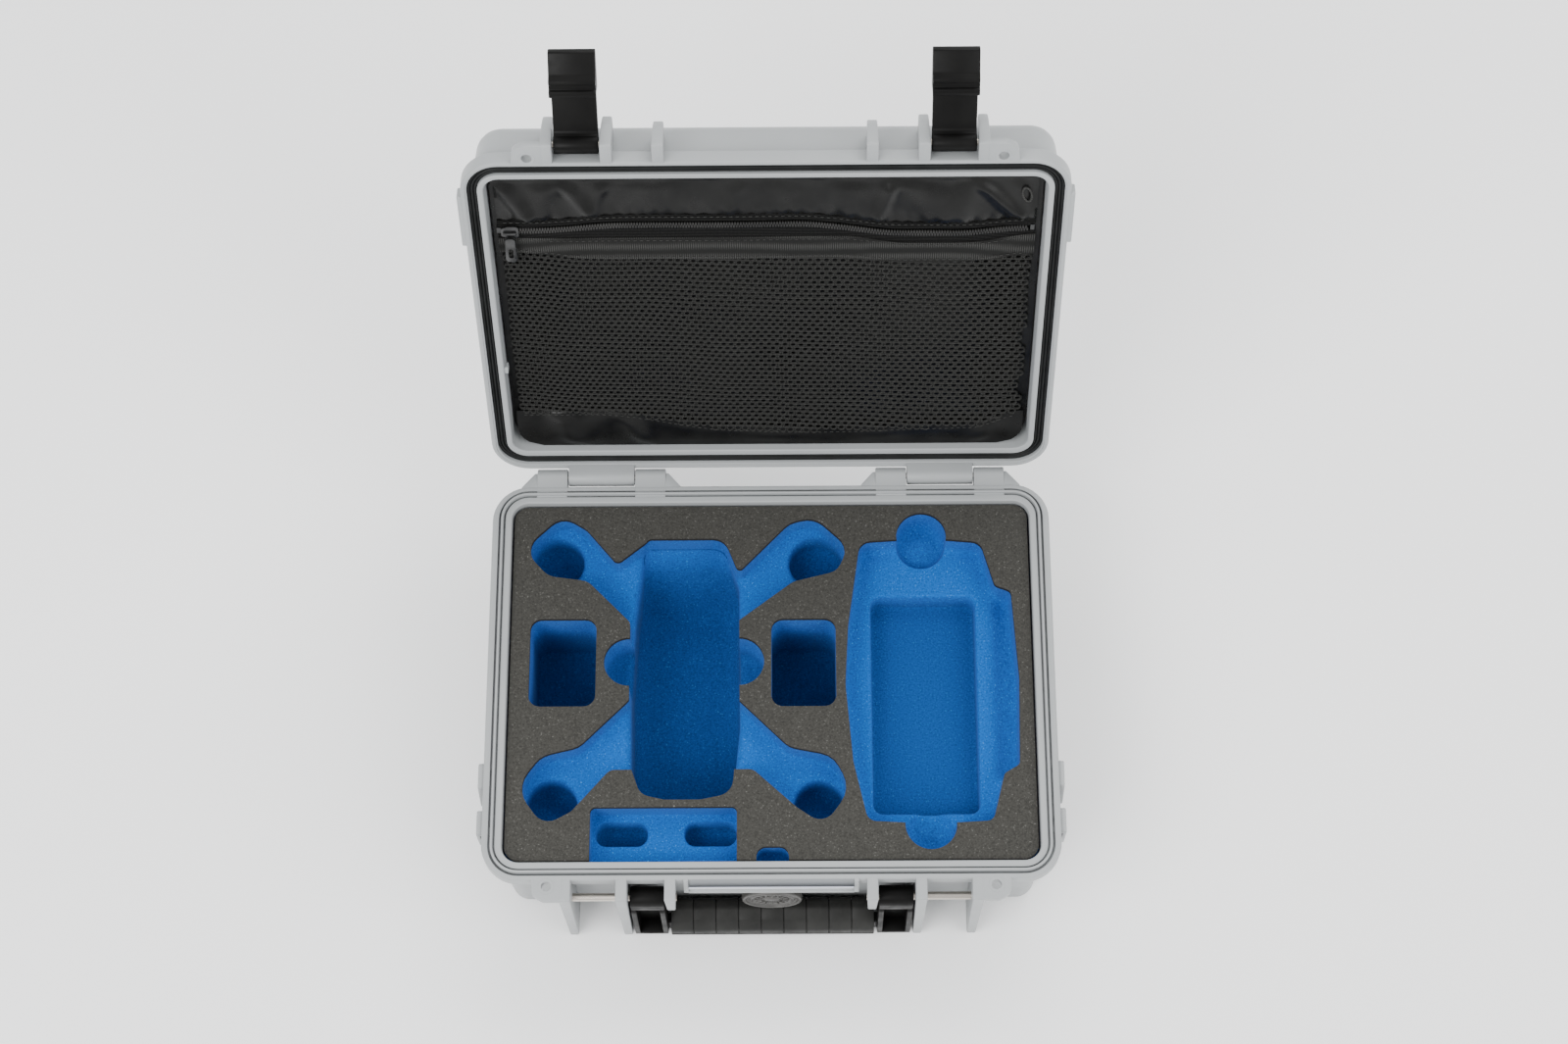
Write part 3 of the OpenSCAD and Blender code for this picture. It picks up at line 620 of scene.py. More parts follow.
def depth_inside(points, outline):
    """Signed distance of points from a closed outline, more than 0 inside it."""
    a = np.array([tuple(p) for p in outline])
    b = np.roll(a, -1, axis=0)
    best = np.full(len(points), 1e9)
    inside = np.zeros(len(points), dtype=bool)
    for (ax, ay), (bx, by) in zip(a, b):
        ex, ey = bx - ax, by - ay
        px, py = points[:, 0] - ax, points[:, 1] - ay
        t = np.clip((px * ex + py * ey) / (ex * ex + ey * ey + 1e-12), 0, 1)
        best = np.minimum(best, np.hypot(px - t * ex, py - t * ey))
        if ay != by:
            crosses = (ay > points[:, 1]) != (by > points[:, 1])
            inside ^= crosses & (points[:, 0] < ax + (points[:, 1] - ay) * ex / ey)
    return np.where(inside, best, -best)


def ramp_floor(points):
    """Floor of the body's recess: it climbs towards the nose."""
    t = np.clip((points[:, 1] - 44) / 26, 0, 1)
    return DEEP_Z + (SHALLOW_Z - 8 - DEEP_Z) * t * t * (3 - 2 * t)


def sculpt(points, outer, inner, soft):
    """Height of the blue foam. Outer recesses are cut sharply through the top, the inner
    ones sink into them over a rounded lip, and the soft ones only dent them."""
    def bowl(depth, floor, bend):
        rest = np.clip(bend - depth, 0, bend)
        bottom = floor(points) if callable(floor) else floor
        return bottom + bend - np.sqrt(bend * bend - rest * rest)

    z = np.full(len(points), CORE_TOP)
    for outline, floor, bend, _ in outer:
        depth = depth_inside(points, outline)
        z = np.where(depth >= 0, np.minimum(z, bowl(depth, floor, bend)), z)
    for outline, drop, width in soft:
        t = np.clip((depth_inside(points, outline) + width) / (2 * width), 0, 1)
        z = np.where(z < CORE_TOP - 1, z - drop * t * t * (3 - 2 * t), z)
    for outline, floor, bend, lip in inner:
        depth = depth_inside(points, outline)
        near = np.clip(lip + depth, 0, lip)
        drop = lip - np.sqrt(lip * lip - near * near)
        z = np.where((depth < 0) & (z < CORE_TOP - 1), z - drop, z)
        z = np.where(depth >= 0, np.minimum(z, bowl(depth, floor, bend)), z)
    return z


def build_core():
    """Blue foam block: its top is one surface, with close pairs of outlines at every wall."""
    pods = [(disc(x, y, r, 40), MIDDLE_Z - 2, 5.0, 2.2) for x, y, r in PODS]
    outer = [(fillet(CROSS), SHALLOW_Z, 3.0, 0), (fillet(CONTROLLER), SHALLOW_Z, 3.0, 0),
             (fillet(CHARGER), SHALLOW_Z, 1.0, 0), (fillet(SMALL_SLOT), SHALLOW_Z, 1.5, 0),
             *((slot, DEEP_Z, 2.5, 0) for slot in DEEP_SLOTS),
             *((disc(x, 9, 12.0, 40), MIDDLE_Z, 6.0, 0) for x in (-67.4, -15.2)),
             (disc(72.6, 72.2, 12, 40), SHALLOW_Z - 5, 5.0, 0),
             (disc(74.4, -71.4, 12, 40), SHALLOW_Z - 3, 6.0, 0),
             (fillet(BODY_TOP), SHALLOW_Z, 3.0, 0)]
    inner = [(fillet(BODY), ramp_floor, 9.0, 4.0), *pods,
             (pad(48, 98.2, -62.6, 45.6, 4.5), MIDDLE_Z, 2.0, 1.6),
             *((pad(x0, x0 + 24.4, -77.8, -66.2, 5), MIDDLE_Z, 4.0, 0.8) for x0 in (-82.5, -40.7))]
    soft = [(fillet(WING), 3.2, 3.5)]

    edge_x, edge_y = OPEN_X - 0.9, OPEN_Y - 0.9
    coords, edges = [], []

    def line(points, whole):
        """A line that the surface follows, closed if it is whole."""
        start = len(coords)
        coords.extend(points)
        edges.extend((start + k, start + k + 1) for k in range(len(points) - 1)
                     if (points[k] - points[k + 1]).length < 6)
        if whole:
            edges.append((start + len(points) - 1, start))

    line(rounded_ring(edge_x, edge_y, CORNER - 0.9, 8, 60), True)
    for outline, _, bend, lip in outer + inner:
        points = walk(outline, 2.2)
        normals = inward_normals(points)
        insets = [-0.03, 0.1, 0.3 * bend, 0.6 * bend, bend]
        for inset in insets + ([-lip, -0.6 * lip, -0.3 * lip] if lip else []):
            moved = [p + n * inset for p, n in zip(points, normals)]
            moved = [p for p in moved if abs(p.x) < edge_x - 0.3 and abs(p.y) < edge_y - 0.3]
            line(moved, len(moved) == len(points))
    for i in range(-40, 41):
        for j in range(-29, 30):
            p = Vector((i * 3.0 + 0.7 * (j % 2), j * 3.0))
            if abs(p.x) < edge_x - 2 and abs(p.y) < edge_y - 2:
                coords.append(p)
    flat, _, triangles, *_ = delaunay_2d_cdt(coords, edges, [], 0, 1e-4)
    xy = np.array([tuple(p) for p in flat])
    verts = [(x, y, h) for (x, y), h in zip(xy, sculpt(xy, outer, inner, soft))]
    used = Counter(tuple(sorted((tri[k], tri[k - 1]))) for tri in triangles for k in range(3))
    rim = sorted({v for key, count in used.items() if count == 1 for v in key},
                 key=lambda v: atan2(verts[v][1], verts[v][0]))
    low = len(verts)
    verts += [(verts[v][0] * (1 - 1.8 / edge_x), verts[v][1] * (1 - 1.8 / edge_y), 14.0)
              for v in rim]
    faces = [tuple(t) for t in triangles]
    n = len(rim)
    faces += [(rim[k], rim[(k + 1) % n], low + (k + 1) % n, low + k) for k in range(n)]
    faces.append(tuple(low + k for k in range(n - 1, -1, -1)))
    core = new_piece("foam_body", verts, faces, "base", FOAM_BLUE, angle=40)
    stand_for(core, "foam_core", "foam_blue")


def foam_slab(name, z0, z1, mat, round_top=0.5):
    def half(z):
        return -0.9 - 2.5 * (1 - z / RIM_Z)

    profile = [(half(z0), z0), (half(z1), z1 - round_top),
               (half(z1) - 0.3 * round_top, z1 - 0.3 * round_top),
               (half(z1) - round_top, z1)]
    return new_piece(name, *rim_loft(profile), "base", mat)


def build_foam():
    build_core()
    sheet = foam_slab("foam_sheet", CORE_TOP, FOAM_TOP, FOAM_GREY, 0.4)
    low, top = CORE_TOP - 4, FOAM_TOP + 4
    shapes = [*map(fillet, (CROSS, CONTROLLER, CHARGER, SMALL_SLOT, BODY_TOP)),
              *DEEP_SLOTS, *(disc(x, y, 12.0) for x, y in
                             ((-67.4, 9), (-15.2, 9), (72.6, 72.2), (74.4, -71.4)))]
    cut(sheet, [recess(shape, low, top) for shape in shapes])
    # Steep faces of the sheet get the near-black foam: painted shade on the cut walls of the
    # recesses
    sheet.data.materials.clear()
    for mat in (FOAM_GREY, FOAM_SHADED_EDGE):
        sheet.data.materials.append(mat)
    for face in sheet.data.polygons:
        face.material_index = 0 if face.normal.z > 0.6 else 1
    stand_for(sheet, "foam_top_sheet", "foam_grey")
    foot = foam_slab("foam_foot", 3.3, 13.95, FOAM_BLUE, 0.3)
    stand_for(foot, "foam_base", "foam_blue")


# ---- lid

def lid_back(off):
    """The lid's outer lip reaches back towards the hinge axis."""
    return 2.6 * ease((off - 6.0) / 1.0) + 0.7 * ease((off - 1.5) / 0.5)


def build_lid():
    low, top = LID_Z, LID_TOP
    profile = fillet([
        (-18, top), (3.4, top, 10), (4.5, low + 10.8), (8.8, low + 8.2, 0.8), (9.5, low + 7.5, 0.6),
        (9.5, low, 1.0), (7.4, low, 0.3), (7.2, low + 0.4), (6.6, low + 0.4, 0.2),
        (6.55, low + 3.4), (2.0, low + 3.4), (2.0, low, 0.5), (-0.8, low, 0.8),
        (-1.6, RIM_Z + 14), (-4.6, top - 3, 8), (-18, top - 3)], closed=False)
    shell = new_piece("lid_cover", *rim_loft(profile, back=lid_back), "lid", SHELL)
    stand_for(shell, "lid_shell", "shell")
    root = [(92.5, 84), (93, low + 9), (96.6, low + 4), (96.6, low + 0.15)]
    foot = (EAR_OUT, low + 0.15, 1.2)
    ear = fillet([foot, (107.6, 86, 6), (105.6, 93, 3.5), (101, 94.6, 4), (90, 97)] + root)
    lug = fillet([foot, (107.6, 84, 6), (105.6, 89.4, 3.5), (101, 91, 4), (90, 94)] + root)
    for sx, side in SIDES:
        for x, name, outline in ((EARS[0], "ear_outer", ear), (EARS[1], "ear_inner", ear),
                                 (LUG, "lug", lug)):
            shell_slab(f"lid_{name}_{side}", outline, EAR_WIDTH, (sx * x, 0, 0), "lid",
                       lambda x, z: 1.0 - 0.22 * (z - RIM_Z) / 25)
        build_padlock_tab(f"lid_eye_{side}", sx, low, "lid")
        build_knuckle(sx, side)
        slab(f"lid_side_pad_{side}", pad(-78, -48, low + 0.4, low + 7.4, 1.2), 4.0,
                     (sx * 134.4, 0, 0), "lid", SHELL, 0.6, ALONG)
    slab("pouch_catch", pad(-2.0, 2.0, 71.2, 75.5, 0.8), 2.6, (-123.7, 33, 0), "lid",
                 SHELL, 0.4, ALONG)


def build_knuckle(sx, side):
    hy, hz = HINGE.y / MM, HINGE.z / MM
    ring = [(-(hy + 4.2 * cos(a)), hz + 4.2 * sin(a))
            for a in (radians(-180 + 18 * k) for k in range(11))]
    outline = ([(-95, 77.2), (-98.6, 74), (-98.6, LID_Z + 0.1)] + ring
               + [(-(hy + 3.4), 72), (-98.4, 77.2)])
    slab(f"hinge_knuckle_{side}", outline, 32.0, (sx * 82.25, 0, 0), "lid", SHELL,
                 0.5)


def build_seal():
    """Rubber cord in the lid's groove: three soft beads with two furrows between them."""
    width, beads, steps = 4.45, 3, 24
    profile = [(2.05, LID_Z + 3.35), (6.5, LID_Z + 3.35)]
    for k in range(steps + 1):
        t = k / steps
        furrow = 0.75 * (1 - abs(sin(beads * pi * t)) ** 0.6)
        profile.append((6.5 - width * t, LID_Z + 1.15 + furrow))
    skin = rim_loft(profile, closed=True, back=lid_back)
    stand_for(new_piece("lid_gasket", *skin, "lid", SEAL, angle=70), "lid_seal", "seal")


# ---- pouch

def fade(x, edge, width):
    """0 at the edges of a span of plus or minus edge, 1 in the middle."""
    return ease((edge - abs(x)) / width)


def zip_y(x):
    """The sewn zip line strays sideways, and is straight where the slider rests."""
    crest = ease((x + 113) / 50) * ease((54 - x) / 42)
    trough = ease((x - 36) / 26) * ease((111 - x) / 24)
    return ZIP_Y + (1.5 * trough - 4.2 * crest)


def tape_y(x):
    """Edges of the woven tape that binds the top of the mesh."""
    left = 1 - ease((x + 118) / 48)
    sag = ease((x - 34) / 30) * ease((124 - x) / 34)
    return -49.3 + 3.8 * sag + 0.8 * left, -36.6 + 2.6 * sag - 3.4 * left


def hem_y(x):
    """Seam between the mesh and the bottom band: a slow wave, lower on the right."""
    drop = ease((x + 88) / 68)
    return 64.5 + 11.5 * drop + 1.4 * sin(x * 0.045 + 0.6) - 8 * ease((x - 96) / 25)


def cloth_z(x, y):
    """Height of the pouch's front: it swells between its fixed edges, and comes nearer
    the rim towards the hinges."""
    swell = 1.6 * fade(x, 122, 40) * fade(y, 88, 30)
    slow = 0.8 * noise.noise(Vector((x * 0.018, y * 0.024, 3.1)))
    slow *= fade(x, 121, 12) * fade(y, 86, 8)
    return POUCH_Z - swell + slow - 2.8 * ease((y - 60) / 27)


def cloth_share(y):
    """Share of the pouch's half width at y, less at its round corners."""
    over = min(max(y - POUCH_BACK + POUCH_CUT, 0.0), POUCH_CUT)
    return 1 - (POUCH_CUT - sqrt(POUCH_CUT ** 2 - over ** 2)) / POUCH_HALF


def cloth_grid(name, x0, x1, y_low, y_high, step, height, mat, thick=0.5):
    """Sheet between two edges y_low(x) and y_high(x), thick millimetres thick."""
    nx = max(2, round((x1 - x0) / step))
    ny = max(2, round((y_high((x0 + x1) / 2) - y_low((x0 + x1) / 2)) / step))
    rings = []
    for i in range(nx + 1):
        x = x0 + (x1 - x0) * i / nx
        front, back = [], []
        for j in range(ny + 1):
            y = y_low(x) + (y_high(x) - y_low(x)) * j / ny
            px = x * cloth_share(y)
            z = height(px, y)
            front.append((px, y, z))
            back.append((px, y, z + thick))
        rings.append(front + back[::-1])
    verts, faces = loft_mesh(rings)
    faces = faces[:-2]          # the ends are strips of quads instead
    n, last = 2 * (ny + 1), nx * 2 * (ny + 1)
    for j in range(ny):
        faces.append((j, j + 1, n - 2 - j, n - 1 - j))
        faces.append((last + j, last + n - 1 - j, last + n - 2 - j, last + j + 1))
    return new_piece(name, verts, faces, "lid", mat, angle=75)


# Folds of the coated cloth: (x, slant, width, height) in mm, at the middle of each band
TOP_FOLDS = ((-112, 0.5, 4.5, 1.5), (-101, -0.35, 7, 1.2), (-83, 0.6, 3.6, 1.2),
             (-76, -0.4, 3, 0.8), (-50, 0.2, 16, 0.5), (-15, -0.3, 5, 0.8), (8, 0.2, 14, 0.5),
             (38, 0.35, 9, 0.9), (53, -0.3, 3.2, 1.5), (70, 0.4, 9, 0.7), (88, -0.3, 6, 0.9),
             (104, 0.9, 4, 1.5), (114, 0.2, 3.5, 0.8))
LOW_FOLDS = ((-97, 0.4, 6, 1.3), (-84, -0.5, 8, 0.7), (-64, 0.6, 5, 1.2), (-40, 0.3, 14, 0.5),
             (0, 0.2, 16, 0.4), (48, -0.3, 13, 0.5), (86, 0.3, 9, 0.6), (103, -0.4, 5, 0.8))


def fold(x, y, folds, middle, seed):
    """Few soft folds of stiff coated cloth, over a shallow unevenness."""
    lift = 0.6 * noise.noise(Vector((x * 0.035, y * 0.07, seed)))
    for at, slant, width, height in folds:
        off = (x - at - slant * (y - middle)) / width
        lift += 1.5 * height * exp(-off * off)
    return lift


def stitches(name, points):
    """Row of thread stitches along a line of points."""
    length, gap, radius = 1.6, 1.3, 0.2
    up = Vector((0, 0, 1))
    verts, faces = [], []
    travelled = 0.0
    for a, b in zip(points, points[1:]):
        a, b = Vector(a), Vector(b)
        seg = (b - a).length
        d = (b - a).normalized()
        side = up.cross(d).normalized()
        while travelled < seg:
            p = a.lerp(b, travelled / seg)
            add_loft(verts, faces, [
                [p + d * length * t + (up * sin(TAU * k / 6) + side * cos(TAU * k / 6))
                 * radius * r for k in range(6)]
                for t, r in ((-0.5, 0.35), (-0.35, 1.0), (0.35, 1.0), (0.5, 0.35))])
            travelled += length + gap
        travelled -= seg
    piece = new_piece(name, verts, faces, "lid", THREAD, angle=60)
    return piece


def build_pouch():
    """Front of the pouch: coated bands at the top and bottom, the zip's own cloth, the
    woven tape that binds the mesh, and the stitched hems."""
    def bell(off, width):
        return exp(-(off / width) ** 2)

    def top_z(x, y):
        hang = ease((y + 84) / 8) * ease((zip_y(x) - 3.6 - y) / 5)
        hem = 0.55 * bell(y + 83.6 + 0.5 * sin(x * 0.13) + 0.3 * sin(x * 0.41), 0.8)
        pucker = 0.3 * sin(x * 0.95 + 2 * sin(x * 0.11)) * bell(y - zip_y(x) + 7, 2.6)
        return cloth_z(x, y) - hang * fold(x, y, TOP_FOLDS, -70, 1.7) - hem - pucker + 0.2

    def low_z(x, y):
        hang = ease((y - hem_y(x)) / 5) * ease((88 - y) / 6)
        return cloth_z(x, y) - hang * fold(x, y, LOW_FOLDS, 78, 5.2) + 0.2

    def sheet(name, node, slot, mat, low, high, step, height, half=120.5, thick=0.5):
        piece = cloth_grid(name, -half, half, low, high, step, height, mat, thick)
        stand_for(piece, node, slot)
        return piece

    def strip(name, low, high, lift, mat, thick=0.45, ribs=0.0):
        return sheet(name, "pouch_zip_tape", "pouch_tape", mat, low, high, 1.2, lambda x, y: (
            cloth_z(x, y) - lift + ribs * cos((y - zip_y(x)) * 1.6)), thick=thick)

    top = sheet("pouch_upper_cloth", "pouch_top_band", "pouch_vinyl", VINYL, lambda x: -86.4,
                lambda x: zip_y(x) - 4.0, 1.3, top_z)
    low = sheet("pouch_lower_cloth", "pouch_bottom_band", "pouch_vinyl", VINYL, hem_y,
                lambda x: POUCH_BACK, 1.3, low_z, half=POUCH_HALF)
    upper = strip("zip_tape_upper", lambda x: zip_y(x) - 5.8, lambda x: zip_y(x) - 2.1, 0.3,
                  ZIP_CLOTH)
    under = strip("zip_tape_lower", lambda x: zip_y(x) + 2.1, lambda x: tape_y(x)[0] + 1.4, 0.2,
                  ZIP_CLOTH)
    woven = strip("mesh_binding", lambda x: tape_y(x)[0], lambda x: tape_y(x)[1], 0.75, TAPE,
                  0.6, 0.12)
    net = build_net()
    build_bag()
    rows = {"upper_hem": lambda x: zip_y(x) - 5.0, "tape_seam": lambda x: tape_y(x)[0] + 1.2,
            "net_seam": lambda x: tape_y(x)[1] - 1.4, "lower_hem": lambda x: hem_y(x) + 1.6}
    for name, line in rows.items():
        points = [(x, line(x), cloth_z(x, line(x)) - 0.95) for x in range(-117, 118, 3)]
        stitches(f"stitches_{name}", points)


def build_bag():
    """The empty bag behind the front: a soft closed form that fills the lid's walls."""
    rings = []
    for inset, z in ((-1.2, 77.9), (-2.2, 77.7), (-2.7, 78.2), (-2.4, 79.6), (-1.4, 84), (1.2, 90),
                     (5, 95), (11, 98)):
        ring = []
        for p in rounded_ring(120.6 - inset, 84.9 - inset, CORNER, 8, 40, back=13 - max(inset, 0)):
            wave = 0.8 * noise.noise(Vector((p.x * 0.05, p.y * 0.05, z * 0.2)))
            inwards = p.normalized() * abs(wave)
            ring.append((p.x - inwards.x, p.y - inwards.y, z + 0.3 * wave))
        rings.append(ring)
    verts, faces = loft_mesh(rings)
    bag = new_piece("pouch_back", verts, faces, "lid", VINYL, angle=50)
    stand_for(bag, "pouch_bag", "pouch_vinyl")


def build_net():
    """Knitted mesh: offset rows of eyelets with a raised thread around each. The rows
    wander a little, and the eyelets are pulled wider on the right."""
    x0, x1, columns, pitch, slope, sides = -120.0, 120.0, 66, 2.75, 0.05, 8
    rows = int((84 + 44) / pitch) + 4
    verts, faces = [], []

    def across(t):
        return x0 + (x1 - x0) * (0.86 * t + 0.14 * t * t)

    for j in range(rows):
        for i in range(columns):
            t = (i + 0.5 + 0.5 * (j % 2)) / columns
            cx, wide = across(t), across(t + 1 / columns) - across(t)
            cy = -46.0 + j * pitch + slope * cx
            drift = noise.noise_vector(Vector((cx * 0.03, cy * 0.03, 9.4)))
            cx, cy = cx + 1.1 * drift.x, cy + 1.1 * drift.y
            if (cx > x1 - 1.6 or cx < x0 + 0.6 or cy < tape_y(cx)[1] - 0.8
                    or cy > hem_y(cx) + 1.4):
                continue
            rings = []
            for scale, lift in ((1.0, 0.5), (0.96, -0.12), (0.78, -0.5), (0.6, -0.12), (0.57, 0.5)):
                ring = []
                for k in range(sides):
                    a = TAU * (k + 0.5) / sides
                    lx = cx + cos(a) * wide * 0.545 * scale
                    ly = cy + sin(a) * pitch * 0.70 * scale
                    ring.append((lx, ly, cloth_z(lx, ly) + lift))
                rings.append(ring)
            add_loft(verts, faces, rings, closed=True)
    net = new_piece("pouch_net", verts, faces, "lid", NET, angle=80)
    stand_for(net, "pouch_mesh", "pouch_mesh")
    return net


def build_zip():
    """Coil zip: two rows of small teeth that meet on the zip line."""
    start, length, pitch = -118, 236, 1.25
    section = ((-0.8, 0.45), (-0.8, -0.25), (-0.4, -0.55), (0.4, -0.55), (0.8, -0.25), (0.8, 0.45))
    verts, faces = [], []
    for i in range(int(length / pitch)):
        for side in (-1, 1):
            x = start + (i + 0.5 + 0.25 * side) * pitch
            y = zip_y(x) + side * 0.72
            z = cloth_z(x, y) - 0.75
            add_loft(verts, faces, [
                [(x + dx * pitch * 0.78, y + dy * 1.05 * size, z + dz * size) for dy, dz in section]
                for dx, size in ((-0.5, 0.7), (-0.3, 1.0), (0.3, 1.0), (0.5, 0.7))])
    stand_for(new_piece("zip_teeth", verts, faces, "lid", ZIP_COIL, angle=40),
              "zip_chain", "zip_teeth")


def build_slider():
    x, y, z = ZIP_X, ZIP_Y, POUCH_Z
    standing = Matrix(((1, 0, 0, 0), (0, 0, 1, 0), (0, -1, 0, 0), (0, 0, 0, 1)))
    meshes = [
        part(fillet([(-4, -2.2, 0.8), (-1, -3.4, 1.5), (4, -3.2, 1.2), (4, 3.2, 1.2),
                     (-1, 3.4, 1.5), (-4, 2.2, 0.8)]), 1.1, 0.3, (x, y, z - 1.6), FLAT),
        part(fillet([(-3, 0), (-3, 1.4, 0.6), (3, 1.4, 0.6), (3, 0)]), 1.5, 0.25,
             (x, y, z - 2.1), standing),
        part(disc(0, 0, 1.6, 24), 1.3, 0.3, (x, y + 3.2, z - 2.6), FLAT)]
    stand_for(joined("slider_body", meshes, "zip_slider", ZIP_METAL), "zip_slider",
              "zip_metal")
    at = (x, y + 3.2, z - 4.2)
    tab = slab("slider_pull", fillet([(-2.2, -1.6, 1.6), (2.2, -1.6, 1.6), (2.7, 10.6, 1.2),
                                      (1.8, 12.5, 1.2), (-1.8, 12.5, 1.2), (-2.7, 10.6, 1.2)]),
               1.1, at, "zip_pull", ZIP_METAL, 0.3, FLAT)
    cut(tab, [slab("hole", pad(-1.1, 1.1, 4.5, 10, 1.0), 6, at, None, ZIP_METAL, 0, FLAT, True)])
    stand_for(tab, "zip_pull", "zip_metal")


def build_pouch_loop():
    """Small loop of cord in the pouch's corner."""
    centre, lean, wire = Vector((115.6, -73.6, POUCH_Z - 1.5)), radians(-14), 0.5
    half_x, half_y, turns, sides = 1.9, 4.2, 40, 8
    rings = []
    for k in range(turns):
        c, d = cos(TAU * k / turns), sin(TAU * k / turns)
        out = Vector((half_x * c, half_y * d, 0))
        normal = Vector((c * half_y, d * half_x, 0)).normalized()
        rings.append([centre + Matrix.Rotation(lean, 3, "Z")
                      @ (out + normal * wire * px + Vector((0, 0, wire * pz)))
                      for px, pz in disc(0, 0, 1, sides)])
    stand_for(new_piece("pouch_loop_cord", *loft_mesh(rings, closed=True), "lid", THREAD,
                        lid=True, angle=80), "pouch_loop", "pouch_tape")


# ---- latches and handle

def build_latch(sx, side):
    """Lever latch: barrel, thin web, thick hook with two ribs across it, and a rolled tip."""
    reach, tip = 25.24, 44.0
    arc = [(reach * cos(a), reach * sin(a))
           for a in (radians(-79.5 - 2.5 * k) for k in range(6))]
    web = fillet([(0, 4.1, 1), (-3.4, 2.6, 1.5), (-5.2, -3, 3), (-5.4, -30), (-1.6, -30),
                  (-1.45, -5, 2), (0.5, -4)])
    head = fillet([(*arc[0], 0.5), *arc[1:], (-5.5, -25.1, 0.3), (-6.0, -32, 3),
                   (-6.1, -tip + 2, 1.4), (-4.4, -tip, 1.4), (-1.2, -tip + 0.2, 1.2),
                   (0.4, -39, 3), (1.9, -34.6, 2), (4.3, -32.6, 0.5), (4.5, -31.2, 0.4),
                   (3.5, -30.5, 0.4), (3.5, -28.4, 0.4), (4.8, -27.8, 0.4), (4.9, -26.2, 0.6)])
    meshes = [part(outline, width, bevel, turn=FLAT) for outline, width, bevel in
              ((web, 19.4, 0.5), (head, 20.3, 0.9), (disc(0, 0, 4.15, 32), 19.6, 0.4))]
    place = (Matrix.Translation((LATCH_PIN + Vector((sx * LATCH_X, 0, 0))) * MM)
             @ Matrix.Rotation(-LATCH_ANGLE, 4, "X") @ ALONG)
    stand_for(joined(f"latch_lever_{side}", meshes, f"latch_{side}", BLACK, place),
              f"latch_{side}", "black_plastic")


def build_handle():
    """Frame: an arm on each side, which is a channel open to the front, under a saddle and
    the hub that turns on the rod, and the bar through the grip."""
    low = [(97.5, 3.5, 1), (99, 1.9, 1)]
    back = fillet(low + [(100.3, 1.9), (100.3, 50), (97.2, 54, 1)])
    wall = fillet(low + [(105.6, 1.9, 1.5), (107.6, 4.5, 2.5), (107.3, 44, 3), (104, 49.5, 2),
                         (97.4, 49.5)])
    foot = fillet([(99, 1.9), (105.6, 1.9, 1.5), (107.6, 4.5, 2), (107.4, 6.4), (99, 6.4)])
    saddle = fillet([(97.3, 44), (106.6, 45.5, 2), (107, 54, 2), (97.2, 54)])
    meshes = [part(outline, depth, bevel, (sx * ARM_X + x, 0, 0)) for sx, _ in SIDES
              for x, depth, outline, bevel in (
                  (0, 15.6, back, 0.45), (-6.7, 2.5, wall, 0.45), (6.7, 2.5, wall, 0.45),
                  (0, 15.4, foot, 0.45), (0, 15.9, disc(-ROD.y, ROD.z, 5.0, 40), 0.5),
                  (0, 15.7, saddle, 0.5))]
    meshes.append(part(pad(100.2, 105.2, 5.2, 16.8, 1), 101, 0.3))
    stand_for(joined("handle_arms", meshes, "handle", BLACK), "handle_frame", "black_plastic")


def build_grip():
    """Ribbed grip: nine soft segments over a smooth lower lip, back to the tray's wall."""
    segment = fillet([(95.5, 7), (92.9, 9, 1.5), (92.8, 16.2, 2.0), (95.0, 18.3, 2),
                      (98.8, 19.9, 3), (104.6, 17.6, 4), (108.1, 12.6, 4), (108.2, 7)])
    lip = fillet([(92.9, 8), (92.9, 4.6, 2), (95.3, 2.1, 2), (106, 2.1, 2.5), (108.4, 5, 2.5),
                  (108.1, 8)])
    filling = fillet([(95.3, 6.5), (93.7, 15.8, 1.8), (95.7, 17.6, 2), (99.1, 19.2, 2.5),
                      (103.9, 17, 4), (107.3, 12.4, 4), (107.5, 6.5)])
    length, count = 97.0, 9
    pitch = length / count
    meshes = [part(segment, pitch - 0.3, 0.35, ((k - count // 2) * pitch, 0, 0))
              for k in range(count)]
    meshes += [part(lip, length, 0.5), part(filling, length - 0.6)]
    stand_for(joined("handle_grip_cover", meshes, "handle", GRIP), "handle_grip", "grip")


# ---- carried-over CAD pieces

def dress_nodes():
    steel = [f"{kind}_{side}" for kind in ("hinge_pin", "front_rod", "latch_pin")
             for _, side in SIDES]
    finishes = {**dict.fromkeys(steel, STEEL), "valve_body": BLACK, "valve_membrane": FELT,
                "valve_gasket": SEAL, "label_card": CARD, "label_window": WINDOW,
                "zip_end_stops": ZIP_METAL}
    for name, mat in finishes.items():
        mesh = frame["nodes"][name].data
        mesh.materials.clear()
        mesh.materials.append(mat)
        mesh.shade_smooth()
        mesh.set_sharp_from_angle(angle=SMOOTH_TO)


# ---- camera and studio

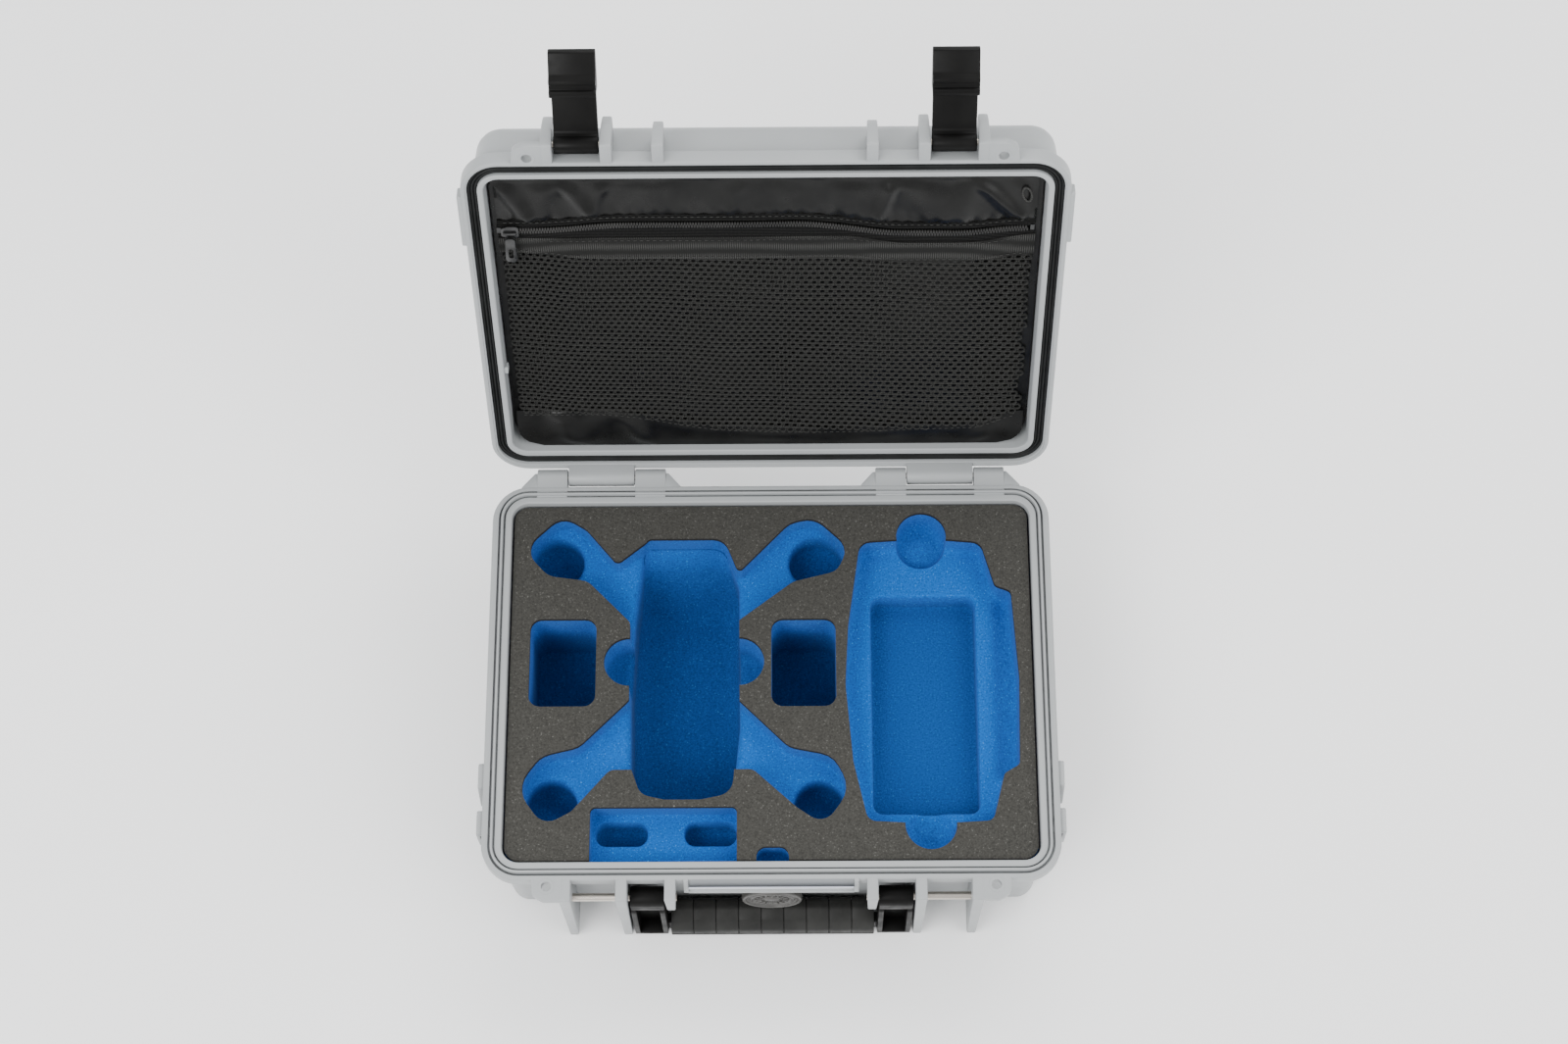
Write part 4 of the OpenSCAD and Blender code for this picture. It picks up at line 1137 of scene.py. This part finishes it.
def build_camera():
    """The photograph's viewing angle, found from the two rims of the case."""
    focal, tilt, yaw, roll = 65.63, radians(68.32), radians(-0.91), radians(1.18)
    from_lens = Vector((-6.2, -73.3, -1351.9))
    up, out = sin(tilt), cos(tilt)
    look = Matrix(((1, 0, 0), (0, up, out), (0, -out, up)))
    axes = Matrix.Rotation(roll, 3, "Z") @ look @ Matrix.Rotation(yaw, 3, "Z")
    place = axes.transposed().to_4x4()
    place.translation = (Vector((0, 0, RIM_Z)) - axes.transposed() @ from_lens) * MM
    data = bpy.data.cameras.new("camera")
    data.lens = focal
    data.sensor_width = 36
    data.sensor_fit = "HORIZONTAL"
    data.clip_end = 20
    cam = bpy.data.objects.new("camera", data)
    cam.matrix_world = place
    bpy.context.scene.collection.objects.link(cam)
    bpy.context.scene.camera = cam


def area_light(name, at, target, size, power, tint=(1, 1, 1)):
    data = bpy.data.lights.new(name, "AREA")
    data.shape = "RECTANGLE"
    data.size, data.size_y = size
    data.energy = power
    data.color = tint
    light = bpy.data.objects.new(name, data)
    light.location = at
    light.rotation_euler = (Vector(target) - Vector(at)).to_track_quat("-Z", "Y").to_euler()
    bpy.context.scene.collection.objects.link(light)


def build_studio():
    mesh = bpy.data.meshes.new("floor")
    mesh.from_pydata([(-6, -6, 0), (6, -6, 0), (6, 6, 0), (-6, 6, 0)], [], [(0, 1, 2, 3)])
    mesh.materials.append(finish("floor", (0.95, 0.95, 0.95), 0.7, (3, 2, 0.99, 1.01)))
    floor = bpy.data.objects.new("floor", mesh)
    bpy.context.scene.collection.objects.link(floor)
    world = bpy.data.worlds.new("studio")
    world.use_nodes = True
    background = world.node_tree.nodes["Background"].inputs
    background["Color"].default_value = (0.98, 0.99, 1, 1)
    background["Strength"].default_value = 1.2
    bpy.context.scene.world = world
    area_light("key", (-1.0, -0.9, 1.5), (0, 0.02, 0.05), (1.3, 1.0), 34)
    area_light("fill", (1.3, -0.7, 1.2), (0, 0, 0.05), (1.2, 1.2), 18)
    area_light("back", (0.3, 1.3, 1.6), (0, 0.05, 0.1), (1.6, 0.8), 24)


build_camera()
build_tray()
build_label_ledge()
build_valve()
build_foam()
build_lid()
build_seal()
build_pouch()
build_zip()
build_slider()
build_pouch_loop()
for sign, label in SIDES:
    build_latch(sign, label)
build_handle()
build_grip()
dress_nodes()
build_studio()
